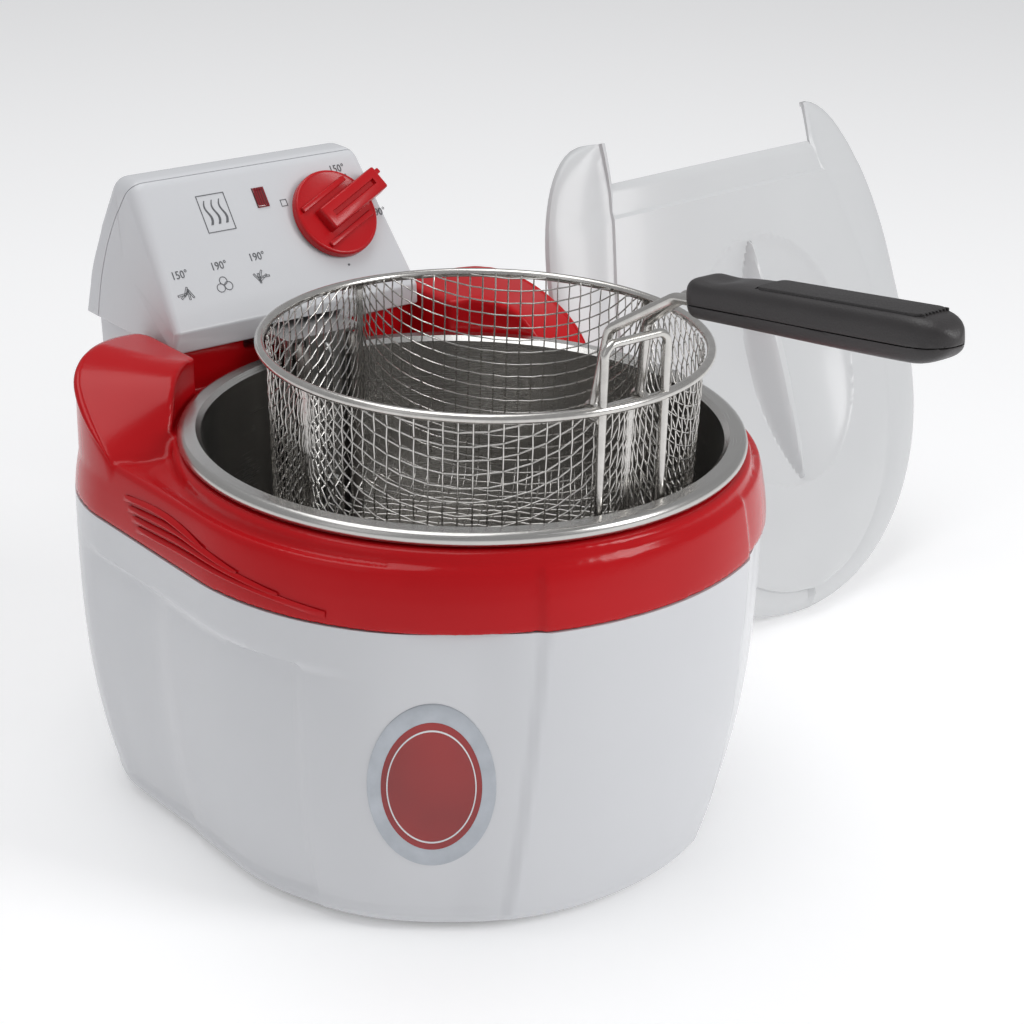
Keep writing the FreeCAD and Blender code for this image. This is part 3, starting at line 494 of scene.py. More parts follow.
def make_camera():
    turn = math.radians(VIEW_TURN)
    rise = math.radians(VIEW_RISE)
    back = Vector((math.sin(turn) * math.cos(rise), -math.cos(turn) * math.cos(rise), math.sin(rise)))
    data = bpy.data.cameras.new("camera")
    data.lens = 78.13
    data.sensor_width = 36.0
    data.clip_start = 0.02
    data.clip_end = 60.0
    camera = bpy.data.objects.new("camera", data)
    bpy.context.scene.collection.objects.link(camera)
    level = (-back).to_track_quat("-Z", "Y").to_matrix()
    camera.matrix_world = (Matrix.Translation(VIEW_AIM + VIEW_DISTANCE * back)
                           @ (level @ Matrix.Rotation(math.radians(VIEW_ROLL), 3, "Z")).to_4x4())
    bpy.context.scene.camera = camera


def make_floor():
    clear_choice()
    bpy.ops.mesh.primitive_plane_add(size=14.0, location=(0, 0, 0))
    floor = new_piece("floor")
    f = Finish("studio_floor", (0.86, 0.86, 0.865), 0.6)
    f.set("Roughness", f.grain(3.0) * 0.1 + 0.5)
    f.set("Specular IOR Level", 0.15)
    f.set("Emission Color", (1.0, 1.0, 1.0, 1.0))
    f.set("Emission Strength", 0.24)
    floor.data.materials.append(f.material)


def make_light(name, size, size_y, place, aim, power):
    data = bpy.data.lights.new(name, "AREA")
    data.energy = power
    data.shape = "RECTANGLE"
    data.size = size
    data.size_y = size_y
    light = bpy.data.objects.new(name, data)
    bpy.context.scene.collection.objects.link(light)
    light.location = place
    light.rotation_euler = (Vector(aim) - Vector(place)).to_track_quat("-Z", "Y").to_euler()


def make_lighting():
    world = bpy.data.worlds.new("studio")
    bpy.context.scene.world = world
    world.use_nodes = True
    background = world.node_tree.nodes["Background"]
    background.inputs["Color"].default_value = (0.97, 0.98, 1.0, 1.0)
    background.inputs["Strength"].default_value = 0.40
    middle = (0.05, 0.0, 0.10)
    make_light("overhead", 1.6, 1.2, (-0.2, 0.3, 1.9), middle, 14.0)
    make_light("left_softbox", 0.9, 1.2, (-1.7, -0.3, 1.0), middle, 1.2)
    make_light("right_softbox", 0.7, 1.1, (1.0, -1.7, 1.3), middle, 20.0)


make_camera()
make_floor()
make_lighting()


# ============================================================ body and collar
FRONT_STEPS = 200
SIDE_STEPS = 10
CORNER_STEPS = 26
REAR_STEPS = 14


def outline(inset, z):
    """The body seen from above: half an ellipse in front, straight sides, two round rear corners."""
    half = half_width - inset
    front = front_reach - inset
    back = rear_reach - inset
    corner = rear_corner - inset
    cx, cy = half - corner, back - corner
    points = []
    for step in range(FRONT_STEPS):
        turn = math.pi * step / FRONT_STEPS
        points.append((-half * math.cos(turn), -front * math.sin(turn), z))
    for step in range(SIDE_STEPS):
        points.append((half, cy * step / SIDE_STEPS, z))
    for step in range(CORNER_STEPS):
        turn = 0.5 * math.pi * step / CORNER_STEPS
        points.append((cx + corner * math.cos(turn), cy + corner * math.sin(turn), z))
    for step in range(REAR_STEPS):
        points.append((cx - 2.0 * cx * step / REAR_STEPS, back, z))
    for step in range(CORNER_STEPS):
        turn = 0.5 * math.pi * (1.0 + step / CORNER_STEPS)
        points.append((-cx + corner * math.cos(turn), cy + corner * math.sin(turn), z))
    for step in range(SIDE_STEPS):
        points.append((-half, cy - cy * step / SIDE_STEPS, z))
    points.append(points[0])
    return points


def bearing(point):
    """Degrees round from the front, positive to the right."""
    return math.degrees(math.atan2(point[0], -point[1]))


BODY_DRAFT = 15.0 * MM
FOOT_RISE = 9.0 * MM                  # height of the rounding into the floor
SHELL_WALL = 2.4 * MM
BODY_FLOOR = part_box("base_plate")[0].z + 3.0 * MM


def body_inset(z):
    share = (collar_foot - z) / (collar_foot - BODY_FLOOR)
    return BODY_DRAFT * max(0.0, share) ** 3


def body_relief(point, z):
    """How far each moulded panel of the wall lies in from the plain form, in metres."""
    turn = abs(bearing(point))
    drop = (collar_foot - z) / (collar_foot - BODY_FLOOR)
    inset = 0.0
    # a broad panel round the front, bounded by two creases that lean together as they go down
    crease = 23.4 + 4.4 * drop if bearing(point) < 0 else 28.2 - 3.0 * drop
    inset += 1.5 * MM * ease(turn, crease - 0.5, crease + 0.7)
    inset += 2.4 * MM * ease(turn, crease, crease + 12.0) * (1.0 - ease(turn, crease + 12.0, crease + 34.0))
    # side panels sunk behind a crease, under a shallow brow that fades towards the front
    brow = 17.0 * MM + 2.0 * MM * ease(turn, 118.0, 60.0)
    under = ease(collar_foot - z, brow - 1.2 * MM, brow + 1.6 * MM)
    reach = ease(turn, 50.0, 72.0) * (1.0 - ease(turn, 121.0, 126.0))
    inset += 2.5 * MM * under * reach
    inset += 1.5 * MM * under * ease(turn, 66.0, 67.6) * (1.0 - ease(turn, 69.0, 84.0))
    inset += 1.7 * MM * under * ease(turn, 104.0, 106.0) * (1.0 - ease(turn, 107.0, 121.0))
    return inset


def make_body():
    levels = [blend_between(collar_foot, BODY_FLOOR + FOOT_RISE, step / 56.0) for step in range(57)]
    rows = []
    for z in levels:
        row = outline(body_inset(z), z)
        rows.append([inward(point, body_relief(point, z)) for point in row])
    base = body_inset(levels[-1])
    low = levels[-1]
    for step in range(1, 8):
        turn = 0.5 * math.pi * step / 7.0
        draw = 1.0 * MM * math.sin(turn) + 8.0 * MM * (1.0 - math.cos(turn))
        z = low - FOOT_RISE * math.sin(turn)
        row = outline(base + draw, z)
        fade = 1.0 - step / 7.0
        rows.append([inward(point, body_relief(point, low) * fade) for point in row])
    rows.append(outline(base + 13.0 * MM, BODY_FLOOR))
    piece = skin("body_shell", rows, True)
    modifier(piece, "SOLIDIFY", thickness=SHELL_WALL, offset=-1.0)
    smooth(piece, 40.0)
    return finished(piece, finishes["white_shell"], "base", "white_shell", "outer_body")


def inward(point, distance):
    """Move a point of an outline straight towards the middle of the plan."""
    flat = Vector((point[0], point[1] - 0.1 * rear_reach, 0.0))
    moved = Vector(point) - flat.normalized() * distance
    return tuple(moved)


make_body()


# ------------------------------------------------------------ collar
EAR_INNER = housing_high.x + 2.1 * MM
SHELF = collar_foot + 25.0 * MM
SEAT_TOP = housing_low.z - 0.6 * MM
SEAT_FRONT = rim_reach + 6.0 * MM
HOLE_RADIUS = 109.1 * MM
RING_RADIUS = 118.3 * MM
RING_TOP = rim_top - 6.3 * MM


def on_circle(point, radius, z):
    """The point of a circle round the pot in the same direction as a point of the outline."""
    flat = Vector((point[0], point[1]))
    flat = flat.normalized() * radius
    return (flat.x, flat.y, z)


def collar_step(point):
    """The wall behind the front panel lies a little further in."""
    turn = abs(bearing(point))
    crease = 24.0 if bearing(point) < 0 else 28.0
    return 1.5 * MM * ease(turn, crease - 0.5, crease + 0.5)


def make_collar_ring():
    rows = []
    wall = [(0.0, 0.0), (0.5, 6.0), (1.5, 12.5), (2.8, 19.0), (3.8, 23.2), (4.4, 24.6), (5.4, 25.0)]
    for inset, rise in wall:
        row = outline(inset * MM, collar_foot + rise * MM)
        rows.append([inward(point, collar_step(point)) for point in row])
    edge = rows[-1]
    groove = [on_circle(point, RING_RADIUS + 0.8 * MM, SHELF - 0.4 * MM) for point in edge]
    middle = [tuple(blend_between(Vector(a), Vector(b), 0.55)) for a, b in zip(edge, groove)]
    rows.append([(x, y, SHELF - 1.1 * MM) for x, y, z in middle])
    rows.append(groove)
    for radius, z in ((RING_RADIUS, RING_TOP - 1.4 * MM), (RING_RADIUS - 0.6 * MM, RING_TOP - 0.3 * MM),
                      (RING_RADIUS - 1.6 * MM, RING_TOP), (HOLE_RADIUS + 1.0 * MM, RING_TOP),
                      (HOLE_RADIUS, RING_TOP - 1.0 * MM), (HOLE_RADIUS, SHELF - 4.0 * MM)):
        rows.append([on_circle(point, radius, z) for point in edge])
    rows.append(outline(6.5 * MM, SHELF - 5.5 * MM))
    rows.append(outline(3.4 * MM, collar_foot))
    rows.append(rows[0])
    return skin("collar_ring", rows, True)


def wall_half(y, inset):
    """Half width of the body's outline at a distance behind the pot's axis."""
    corner = rear_corner - inset
    start = rear_reach - rear_corner
    side = half_width - inset
    over = max(0.0, y - start)
    return side - corner + math.sqrt(max(0.0, corner ** 2 - over ** 2))


EAR_HIGH = collar_high.z - 0.2 * MM


def ear_bead(share):
    """Where the outer wall of an ear ends at its front, at a share of the ear's height."""
    return min(rear_reach - 14.0 * MM, 68.0 * MM + 52.0 * MM * max(0.0, share) ** 1.25)


def ear_crest(share):
    """How far the outer wall of an ear is drawn in near its rounded top."""
    part = min(1.0, max(0.0, (share - 0.70) / 0.30))
    return 3.8 * MM + 8.5 * MM * (1.0 - math.sqrt(1.0 - part ** 2))


def ear_section(side, z):
    """One level of an ear, from its inner front corner round to its inner rear corner."""
    share = (z - SHELF) / (EAR_HIGH - SHELF)
    part = min(1.0, max(0.0, (share - 0.60) / 0.40))
    lean = 1.0 - math.sqrt(1.0 - part ** 2)
    front = 61.0 * MM + 5.0 * MM * max(0.0, share) + 22.0 * MM * lean
    front -= 6.0 * MM * (1.0 - ease(share, -0.1, 0.2))
    bead = max(ear_bead(share), front)
    crest = ear_crest(share)
    rear = rear_reach - 5.0 * MM - 9.0 * MM * lean
    points = []
    for step in range(20):
        x = blend_between(EAR_INNER, wall_half(bead, crest), step / 20.0)
        points.append((x, blend_between(front, bead, (step / 20.0) ** 1.5)))
    for step in range(30):
        y = blend_between(bead, rear, step / 29.0)
        points.append((max(EAR_INNER, wall_half(y, crest)), y))
    for step in range(1, 10):
        points.append((EAR_INNER, blend_between(rear, front, step / 10.0)))
    points.append(points[0])
    width = wall_half(bead, crest) - EAR_INNER
    sag = 6.0 * MM * max(0.0, share) ** 2
    return [(side * x, y, z - sag * (1.0 - (x - EAR_INNER) / width)) for x, y in points]


def make_ear(side):
    low = SHELF - 8.0 * MM
    rows = []
    for step in range(37):
        rows.append(ear_section(side, blend_between(low, EAR_HIGH, math.sin(0.5 * math.pi * step / 36.0))))
    return skin("ear", capped(rows), True)


def make_bead(side):
    """The raised line along the front edge of an ear's outer wall, from the shelf over the top."""
    path = []
    for step in range(41):
        share = math.sin(0.5 * math.pi * step / 40.0)
        y = ear_bead(share)
        inset = ear_crest(share) + 0.9 * MM
        z = blend_between(SHELF, EAR_HIGH - 1.6 * MM, share)
        path.append(Vector((side * wall_half(y, inset), y, z)))
    rows = []
    for index, point in enumerate(path):
        along = (path[min(index + 1, 40)] - path[max(index - 1, 0)]).normalized()
        across = along.cross(Vector((side, 0.0, 0.0))).normalized()
        over = across.cross(along)
        radius = 1.75 * MM * math.sin(math.pi * min(1.0, index / 16.0, (40 - index) / 10.0) / 2.0) + 0.02 * MM
        ring = []
        for turn in range(17):
            swing = 2.0 * math.pi * turn / 16.0
            ring.append(tuple(point + (across * math.cos(swing) + over * math.sin(swing)) * radius))
        rows.append(ring)
    return skin("bead", rows)


def make_grip_rib(index):
    """One of the thin raised lines under the finger hold on the left of the collar."""
    z = collar_foot + (15.5 - 3.1 * index) * MM
    start = -113.0 + 1.5 * index
    end = -88.0 + 9.0 * index
    rows = []
    for step in range(45):
        share = step / 44.0
        turn = blend_between(start, end, share)
        level = z + 3.0 * MM * math.sin(math.pi * share) - 1.5 * MM * share
        proud = 1.15 * MM * math.sin(math.pi * min(1.0, share * 6.0, (1.0 - share) * 2.5) / 2.0)
        row = []
        for lift, out in ((-1.3, -0.5), (-0.5, 0.8), (0.0, 1.0), (0.5, 0.8), (1.3, -0.5)):
            height = level + lift * MM
            inset = 4.0 * MM * ((height - collar_foot) / (25.0 * MM)) ** 1.6 + 0.9 * MM
            row.append(plan_place(turn, inset - proud * out, height))
        rows.append(row)
    return skin("grip_rib", rows)


def plan_place(turn, inset, z):
    """The point of the body's outline at a bearing."""
    ring = outline(inset, z)
    best = None
    for first, second in zip(ring, ring[1:]):
        a, b = bearing(first), bearing(second)
        if a <= turn <= b and b - a < 90.0:
            share = (turn - a) / (b - a) if b > a else 0.0
            best = tuple(blend_between(Vector(first), Vector(second), share))
            break
    return best


def make_collar():
    ring = make_collar_ring()
    ears = [make_ear(side) for side in (-1, 1)]
    for ear in ears:
        cut_by(ear, make_drum("mouth", rim_reach + 2.2 * MM, 80.0 * MM, (0, 0, SHELF - 20.0 * MM), sides=128))
    channel = 27.25 * MM
    back = rear_reach - 5.0 * MM
    seats = [make_block("seat", (side * channel, SEAT_FRONT, SHELF - 6.0 * MM),
                        (side * (EAR_INNER + 2.0 * MM), back, SEAT_TOP)) for side in (-1, 1)]
    floor = make_block("seat_floor", (-channel - 1.0 * MM, SEAT_FRONT, SHELF - 6.0 * MM),
                       (channel + 1.0 * MM, back, rim_top + 1.5 * MM))
    piece = joined("collar_shell", ring, *ears, *seats, floor)
    closed_up(piece, 0.000001)
    modifier(piece, "REMESH", mode="VOXEL", voxel_size=1.25 * MM)
    modifier(piece, "SMOOTH", factor=0.5, iterations=5)
    ribs = [make_grip_rib(index) for index in range(4)]
    beads = [make_bead(side) for side in (-1, 1)]
    piece = joined("collar_shell", piece, *ribs, *beads)
    smooth(piece, 180.0)
    return finished(piece, finishes["red_shell"], "base", "red_shell", "collar")


make_collar()


# ============================================================ control head
PANEL_FOOT = Vector((0.0, housing_low.y, housing_low.z + 10.0 * MM))
PANEL_TILT = math.radians(52.6)
PANEL_RISE = math.radians(0.42)       # the finished panel swells a little towards its crest
PANEL_LENGTH = 58.5 * MM
panel_place = Matrix.Translation(PANEL_FOOT) @ Matrix.Rotation(PANEL_TILT + PANEL_RISE, 4, "X")
head_low = housing_low.z
head_top = cover_high.z
head_rear = cover_high.y
HEAD_HALF = housing_high.x
HEAD_LEAN = 5.0 * MM
SEAM_GAP = 0.55 * MM
BUTTON_SPACE = 4.8 * MM               # radius left free in the housing for the pressed button
BUTTON_HOLE = 4.35 * MM
INLET_HOLE = 7.1 * MM
SCREW_RECESS = 3.5 * MM
HOLE_DEPTH = 40.0 * MM


def rounded_path(corners, steps=8):
    """Points and outward normals round a closed convex outline of (y, z, radius), run clockwise."""
    path = []
    count = len(corners)
    for index in range(count):
        before = Vector(corners[index - 1][:2])
        here = Vector(corners[index][:2])
        after = Vector(corners[(index + 1) % count][:2])
        radius = corners[index][2]
        into = (here - before).normalized()
        out = (after - here).normalized()
        turn = into.angle(out)
        first = here - into * (radius * math.tan(0.5 * turn))
        start = Vector((-into.y, into.x))
        centre = first - start * radius
        for step in range(steps + 1):
            swing = -turn * step / steps
            way = Vector((start.x * math.cos(swing) - start.y * math.sin(swing),
                          start.x * math.sin(swing) + start.y * math.cos(swing)))
            path.append((centre + way * radius, way))
    return path


def head_path():
    """Side view of the head: chin, sloping panel, crest and the long curve of the rear."""
    foot = PANEL_FOOT
    tilt = PANEL_TILT
    top = (foot.y + PANEL_LENGTH * math.cos(tilt), foot.z + PANEL_LENGTH * math.sin(tilt))
    crest = (top[0] + 5.5 * MM, top[1] + 8.0 * MM)
    corners = [
        (housing_low.y + 1.5 * MM, head_low, 1.4 * MM),
        (foot.y, foot.z, 2.2 * MM),
        (crest[0] + 1.2 * MM, crest[1] + 1.6 * MM, 9.0 * MM),
        (head_rear - 17.5 * MM, head_top + 0.2 * MM, 8.0 * MM),
        (head_rear - 9.6 * MM, head_top - 25.0 * MM, 60.0 * MM),
        (head_rear - 1.6 * MM, head_top - 46.0 * MM, 50.0 * MM),
        (head_rear, head_low, 1.2 * MM),
    ]
    return rounded_path(corners)


def head_half(z):
    share = (z - head_low) / (head_top - head_low)
    return HEAD_HALF - HEAD_LEAN * share


def make_head_form():
    path = head_path()
    rows = []
    steps = 7
    for side in (-1, 1):
        levels = range(steps + 1) if side < 0 else range(steps, -1, -1)
        for step in levels:
            turn = 0.5 * math.pi * step / steps
            row = []
            for point, normal in path:
                z = point.y
                edge = blend_between(2.6, 7.0, ease(z, head_top - 26.0 * MM, head_top - 4.0 * MM)) * MM
                edge *= 1.0 - 0.6 * ease(z, head_low + 8.0 * MM, head_low)
                inset = edge * (1.0 - math.sin(turn))
                across = head_half(z) - edge * (1.0 - math.cos(turn))
                row.append((side * across, point.x - normal.x * inset, point.y - normal.y * inset))
            row.append(row[0])
            rows.append(row)
    return skin("head_form", capped(rows), True)


def seam_cutter(shift):
    """Everything in front of the curved seam between the housing and the rear cover."""
    low = (head_rear - 11.0 * MM + shift, head_low - 2.0 * MM)
    points = [low]
    for step in range(1, 25):
        share = step / 24.0
        z = blend_between(head_low, head_top + 4.0 * MM, share)
        y = head_rear - 11.0 * MM - 27.0 * MM * share ** 2.1 + shift
        points.append((y, z))
    points += [(housing_low.y - 0.02, head_top + 4.0 * MM), (housing_low.y - 0.02, head_low - 2.0 * MM)]
    half = HEAD_HALF + 10.0 * MM
    left = [(-half, y, z) for y, z in points] + [(-half, *points[0])]
    right = [(half, y, z) for y, z in points] + [(half, *points[0])]
    rows = [left, right]
    middle = (housing_low.y + 0.02, 0.5 * (head_low + head_top))
    rows = [[(-half, *middle)] * len(left)] + rows + [[(half, *middle)] * len(left)]
    return skin("seam_cutter", rows, True)


def make_head():
    form = make_head_form()
    housing = copied(form, "front_housing")
    cut_by(housing, seam_cutter(0.0), "INTERSECT")
    element_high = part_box("heating_element")[1]
    side = 21.3 * MM
    pocket = make_block("pocket", (-side, housing_low.y - 5.0 * MM, head_low - 1.0 * MM),
                        (side, element_high.y + 1.0 * MM, head_low + 5.5 * MM))
    cut_by(housing, pocket)
    back = (0, 1, 0)
    button_low, button_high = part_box("reset_button")
    button_middle = (button_low + button_high) / 2
    space = (button_middle.x, button_low.y - 6.0 * MM, button_middle.z)
    cut_by(housing, make_drum("button_space", BUTTON_SPACE, 10.0 * MM, space, back))
    closed_up(housing)
    smooth(housing, 30.0)
    finished(housing, finishes["white_shell"], "head", "white_shell", "head_front_housing")

    cover = form
    cover.name = "rear_cover"
    cut_by(cover, seam_cutter(SEAM_GAP))
    half = HEAD_HALF - 4.4 * MM
    tail = make_block("tail", (-half, cover_low.y, cover_low.z),
                      (half, head_rear - 2.0 * MM, head_low + 6.0 * MM), 3.0 * MM, 4)
    choose(tail)
    for corner in tail.data.vertices:
        if corner.co.y < cover_low.y + 4.0 * MM and corner.co.z > head_low - 2.0 * MM:
            corner.co.z = head_low - 0.4 * MM
        if corner.co.y > head_rear - 12.0 * MM:
            corner.co.y -= 3.0 * MM * ease(corner.co.z, cover_low.z + 16.0 * MM, cover_low.z)
    tail.data.update()
    cut_by(cover, tail, "UNION")
    hole = (button_middle.x, head_rear - 14.0 * MM, button_middle.z)
    cut_by(cover, make_drum("hole", BUTTON_HOLE, HOLE_DEPTH, hole, back))
    gland_low, gland_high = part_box("cord_gland")
    gland_middle = (gland_low + gland_high) / 2
    inlet = (gland_middle.x, gland_low.y - 1.0 * MM, gland_middle.z)
    cut_by(cover, make_drum("hole", INLET_HOLE, HOLE_DEPTH, inlet, back))
    screws_low, screws_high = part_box("head_screws")
    across = screws_high.x - 3.2 * MM
    height = 0.5 * (screws_low.z + screws_high.z)
    for x in (-across, gland_middle.x - 16.0 * MM, across):
        recess = (x, screws_high.y - 1.9 * MM, height)
        cut_by(cover, make_drum("hole", SCREW_RECESS, HOLE_DEPTH, recess, back, 32))
    closed_up(cover)
    smooth(cover, 30.0)
    finished(cover, finishes["white_shell"], "head", "white_shell", "head_rear_cover")


make_head()


# ------------------------------------------------------------ knob, lens and print
KNOB_PLACE = Vector((33.0, 39.5)) * MM
KNOB_TURN = math.radians(23.6)
knob_place = panel_place @ Matrix.Translation((*KNOB_PLACE, 0.0)) @ Matrix.Rotation(KNOB_TURN, 4, "Z")


def set_down(piece, place):
    """Move a finished shape from its own flat drawing to its place on the object."""
    piece.matrix_world = place @ piece.matrix_world
    settled(piece)
    return piece


def make_knob():
    radius = 20.7 * MM
    disc = make_drum("knob_disc", radius, 4.0 * MM, (0, 0, 1.0 * MM), sides=96)
    editing(disc)
    choose_parts(disc, lambda a, b: a.z > 4.9 * MM and b.z > 4.9 * MM, "EDGE")
    bpy.ops.mesh.bevel(offset=1.2 * MM, segments=4, affect="EDGES")
    choose_parts(disc, lambda face: face.normal.z > 0.99 and face.area > 0.0004, "FACE")
    bpy.ops.mesh.inset(thickness=0.8 * MM, depth=-0.35 * MM)
    bpy.ops.mesh.inset(thickness=9.0 * MM, depth=0.5 * MM)
    done_editing()
    bar = make_block("knob_bar", (-11.0 * MM, -6.2 * MM, 2.0 * MM), (28.5 * MM, 6.2 * MM, 10.5 * MM))
    editing(bar)
    choose_parts(bar, lambda co: co.z > 8.0 * MM)
    bpy.ops.transform.resize(value=(0.98, 0.92, 1.0), center_override=(10.0 * MM, 0, 0))
    choose_parts(bar, lambda co: co.z > 8.0 * MM and co.x < 0.0)
    bpy.ops.transform.translate(value=(1.0 * MM, 0, -1.0 * MM))
    choose_parts(bar, lambda a, b: True, "EDGE")
    bpy.ops.mesh.bevel(offset=0.9 * MM, segments=3, affect="EDGES")
    choose_parts(bar, lambda face: face.normal.z > 0.95 and face.area > 0.0001, "FACE")
    bpy.ops.mesh.inset(thickness=3.4 * MM, depth=0.0)
    bpy.ops.mesh.inset(thickness=0.4 * MM, depth=-1.6 * MM)
    done_editing()
    extras = []
    for low, high, edge in (((26.0, 1.4, 4.0), (33.0, 4.0, 6.8), 0.6),        # pointer
                            ((-15.0, -11.2, 4.0), (15.0, -8.6, 6.1), 0.5),    # low ribs beside the bar
                            ((-15.0, 8.6, 4.0), (15.0, 11.2, 6.1), 0.5),
                            ((18.0, -4.6, 1.4), (30.0, 4.6, 7.0), 0.8)):      # step under the pointer
        extras.append(make_block("knob_extra", Vector(low) * MM, Vector(high) * MM, edge * MM))
    knob = joined("control_knob", disc, bar, *extras)
    set_down(knob, knob_place)
    smooth(knob, 32.0)
    finished(knob, finishes["red_knob"], "knob", "red_knob", "knob")


def make_lens():
    half, tall = 3.1 * MM, 4.8 * MM
    height = 54.0 * MM                # up the panel
    lens = make_block("indicator_lens", (-half, height - tall, -3.0 * MM), (half, height + tall, 0.75 * MM))
    editing(lens)
    choose_parts(lens, lambda a, b: a.z > 0 and b.z > 0, "EDGE")
    bpy.ops.mesh.bevel(offset=0.5 * MM, segments=3, affect="EDGES")
    choose_parts(lens, lambda face: face.normal.z > 0.99, "FACE")
    bpy.ops.mesh.inset(thickness=0.7 * MM, depth=0.0)
    bpy.ops.mesh.inset(thickness=0.25 * MM, depth=-0.3 * MM)
    done_editing()
    set_down(lens, panel_place)
    smooth(lens, 30.0)
    finished(lens, finishes["red_lens"], "head", "red_lens", "pilot_lens")


PRINT_LIFT = 0.10 * MM
PRINT_DEPTH = 0.20 * MM


def print_text(text, size, x, y):
    clear_choice()
    bpy.ops.object.text_add()
    words = bpy.context.object
    words.data.body = text
    words.data.size = size
    words.data.align_x = "CENTER"
    words.data.align_y = "CENTER"
    words.data.extrude = 0.5 * PRINT_DEPTH
    words.data.resolution_u = 3
    bpy.ops.object.convert(target="MESH")
    piece = new_piece("print")
    piece.matrix_world = Matrix.Translation((x, y, PRINT_LIFT)) @ Matrix.Scale(0.86, 4, (1, 0, 0))
    settled(piece)
    return piece


def print_dot(x, y, radius, hollow=0.0):
    """A printed dot, or a ring where it is hollow."""
    clear_choice()
    bpy.ops.mesh.primitive_cylinder_add(vertices=20, radius=radius, depth=PRINT_DEPTH,
                                        location=(x, y, PRINT_LIFT))
    dot = new_piece("print")
    settled(dot)
    if hollow:
        cut_by(dot, make_drum("hole", hollow, 1.0 * MM, (x, y, -0.5 * MM), sides=20))
    return dot


def print_bar(x, y, length, width, turn=0.0):
    bar = make_block("print", (-0.5 * length, -0.5 * width, 0.0), (0.5 * length, 0.5 * width, PRINT_DEPTH))
    bar.matrix_world = Matrix.Translation((x, y, 0.0)) @ Matrix.Rotation(math.radians(turn), 4, "Z")
    settled(bar)
    return bar


def print_frame(x, y, width, height, line):
    """An open rectangle of four printed lines."""
    bars = []
    for side in (-1, 1):
        bars.append(print_bar(x, y + side * 0.5 * height, width + line, line))
        bars.append(print_bar(x + side * 0.5 * width, y, height - line, line, 90.0))
    return bars


def print_wave(x, y, height, sway, line):
    """A rising wavy line, the usual sign for heat."""
    rows = []
    steps = 18
    for step in range(steps + 1):
        share = step / steps
        middle = x + sway * math.sin(2.0 * math.pi * share)
        width = line * (1.1 - 0.7 * share)
        level = y + height * (share - 0.5)
        rows.append([(middle - width, level, 0.0), (middle - width, level, PRINT_DEPTH),
                     (middle + width, level, PRINT_DEPTH), (middle + width, level, 0.0),
                     (middle - width, level, 0.0)])
    return skin("print", rows)


def print_sticks(x, y, size, count, spread):
    """A loose bundle of food sticks seen from the side."""
    bars = []
    for index in range(count):
        share = index / (count - 1) - 0.5
        height = y + 0.2 * size * math.cos(9.0 * share)
        bars += print_outline_bar(x + share * size * 0.9, height, size, spread * share)
    return bars


def print_outline_bar(x, y, size, turn):
    """One stick drawn as two lines and its two ends."""
    line = 0.22 * MM
    gap = 0.16 * size
    angle = math.radians(turn + 60.0)
    along = Vector((math.cos(angle), math.sin(angle)))
    across = Vector((-along.y, along.x))
    parts = []
    for side in (-1, 1):
        edge = Vector((x, y)) + across * (side * 0.5 * gap)
        parts.append(print_bar(edge.x, edge.y, size, line, turn + 60.0))
        end = Vector((x, y)) + along * (side * 0.5 * size)
        parts.append(print_bar(end.x, end.y, gap, line, turn + 150.0))
    return parts


def make_print():
    parts = [print_text("150°", 5.2 * MM, 44.6 * MM, 61.2 * MM),
             print_text("190°", 5.2 * MM, 57.6 * MM, 37.2 * MM),
             print_dot(47.8 * MM, 57.7 * MM, 0.55 * MM),
             print_dot(31.9 * MM, 15.4 * MM, 0.55 * MM)]
    parts += print_frame(10.8 * MM, 49.6 * MM, 3.0 * MM, 3.0 * MM, 0.28 * MM)
    parts += print_frame(-24.6 * MM, 50.6 * MM, 14.0 * MM, 17.5 * MM, 0.35 * MM)
    for index in (-1, 0, 1):
        parts.append(print_wave((-24.6 + 3.8 * index) * MM, 51.0 * MM, 11.5 * MM, 0.9 * MM, 0.55 * MM))
    for x, y, text in ((-53.0, 25.6, "150°"), (-32.8, 26.4, "190°"), (-12.8, 27.2, "190°")):
        parts.append(print_text(text, 5.2 * MM, x * MM, y * MM))
    parts += print_sticks(-53.0 * MM, 16.8 * MM, 4.6 * MM, 5, 110.0)
    parts += print_sticks(-14.4 * MM, 17.9 * MM, 4.6 * MM, 5, -120.0)
    for x, y, radius in ((-35.6, 16.4, 2.1), (-31.6, 16.8, 2.1), (-33.4, 19.4, 2.0)):
        parts.append(print_dot(x * MM, y * MM, radius * MM, (radius - 0.3) * MM))
    panel_print = joined("panel_print", *parts)
    set_down(panel_print, panel_place)
    finished(panel_print, ink, "head", "dark_moulding")


make_knob()
make_lens()
make_print()


# ------------------------------------------------------------ badge on the front of the body
BADGE_TURN = -42.6
BADGE_HEIGHT = 72.5 * MM
BADGE_HALF = 25.0 * MM
BADGE_TALL = 37.0 * MM


def wall_place(across, up, proud):
    """A point on the front wall, across and up from the middle of the badge, and proud of the wall."""
    z = BADGE_HEIGHT + up
    inset = body_inset(z)
    half, front = half_width - inset, front_reach - inset
    middle = math.radians(BADGE_TURN)
    reach = 1.0 / math.hypot(math.sin(middle) / half, math.cos(middle) / front)
    turn = middle + across / reach
    reach = 1.0 / math.hypot(math.sin(turn) / half, math.cos(turn) / front)
    point = (reach * math.sin(turn), -reach * math.cos(turn), z)
    return inward(point, body_relief(point, z) - proud)


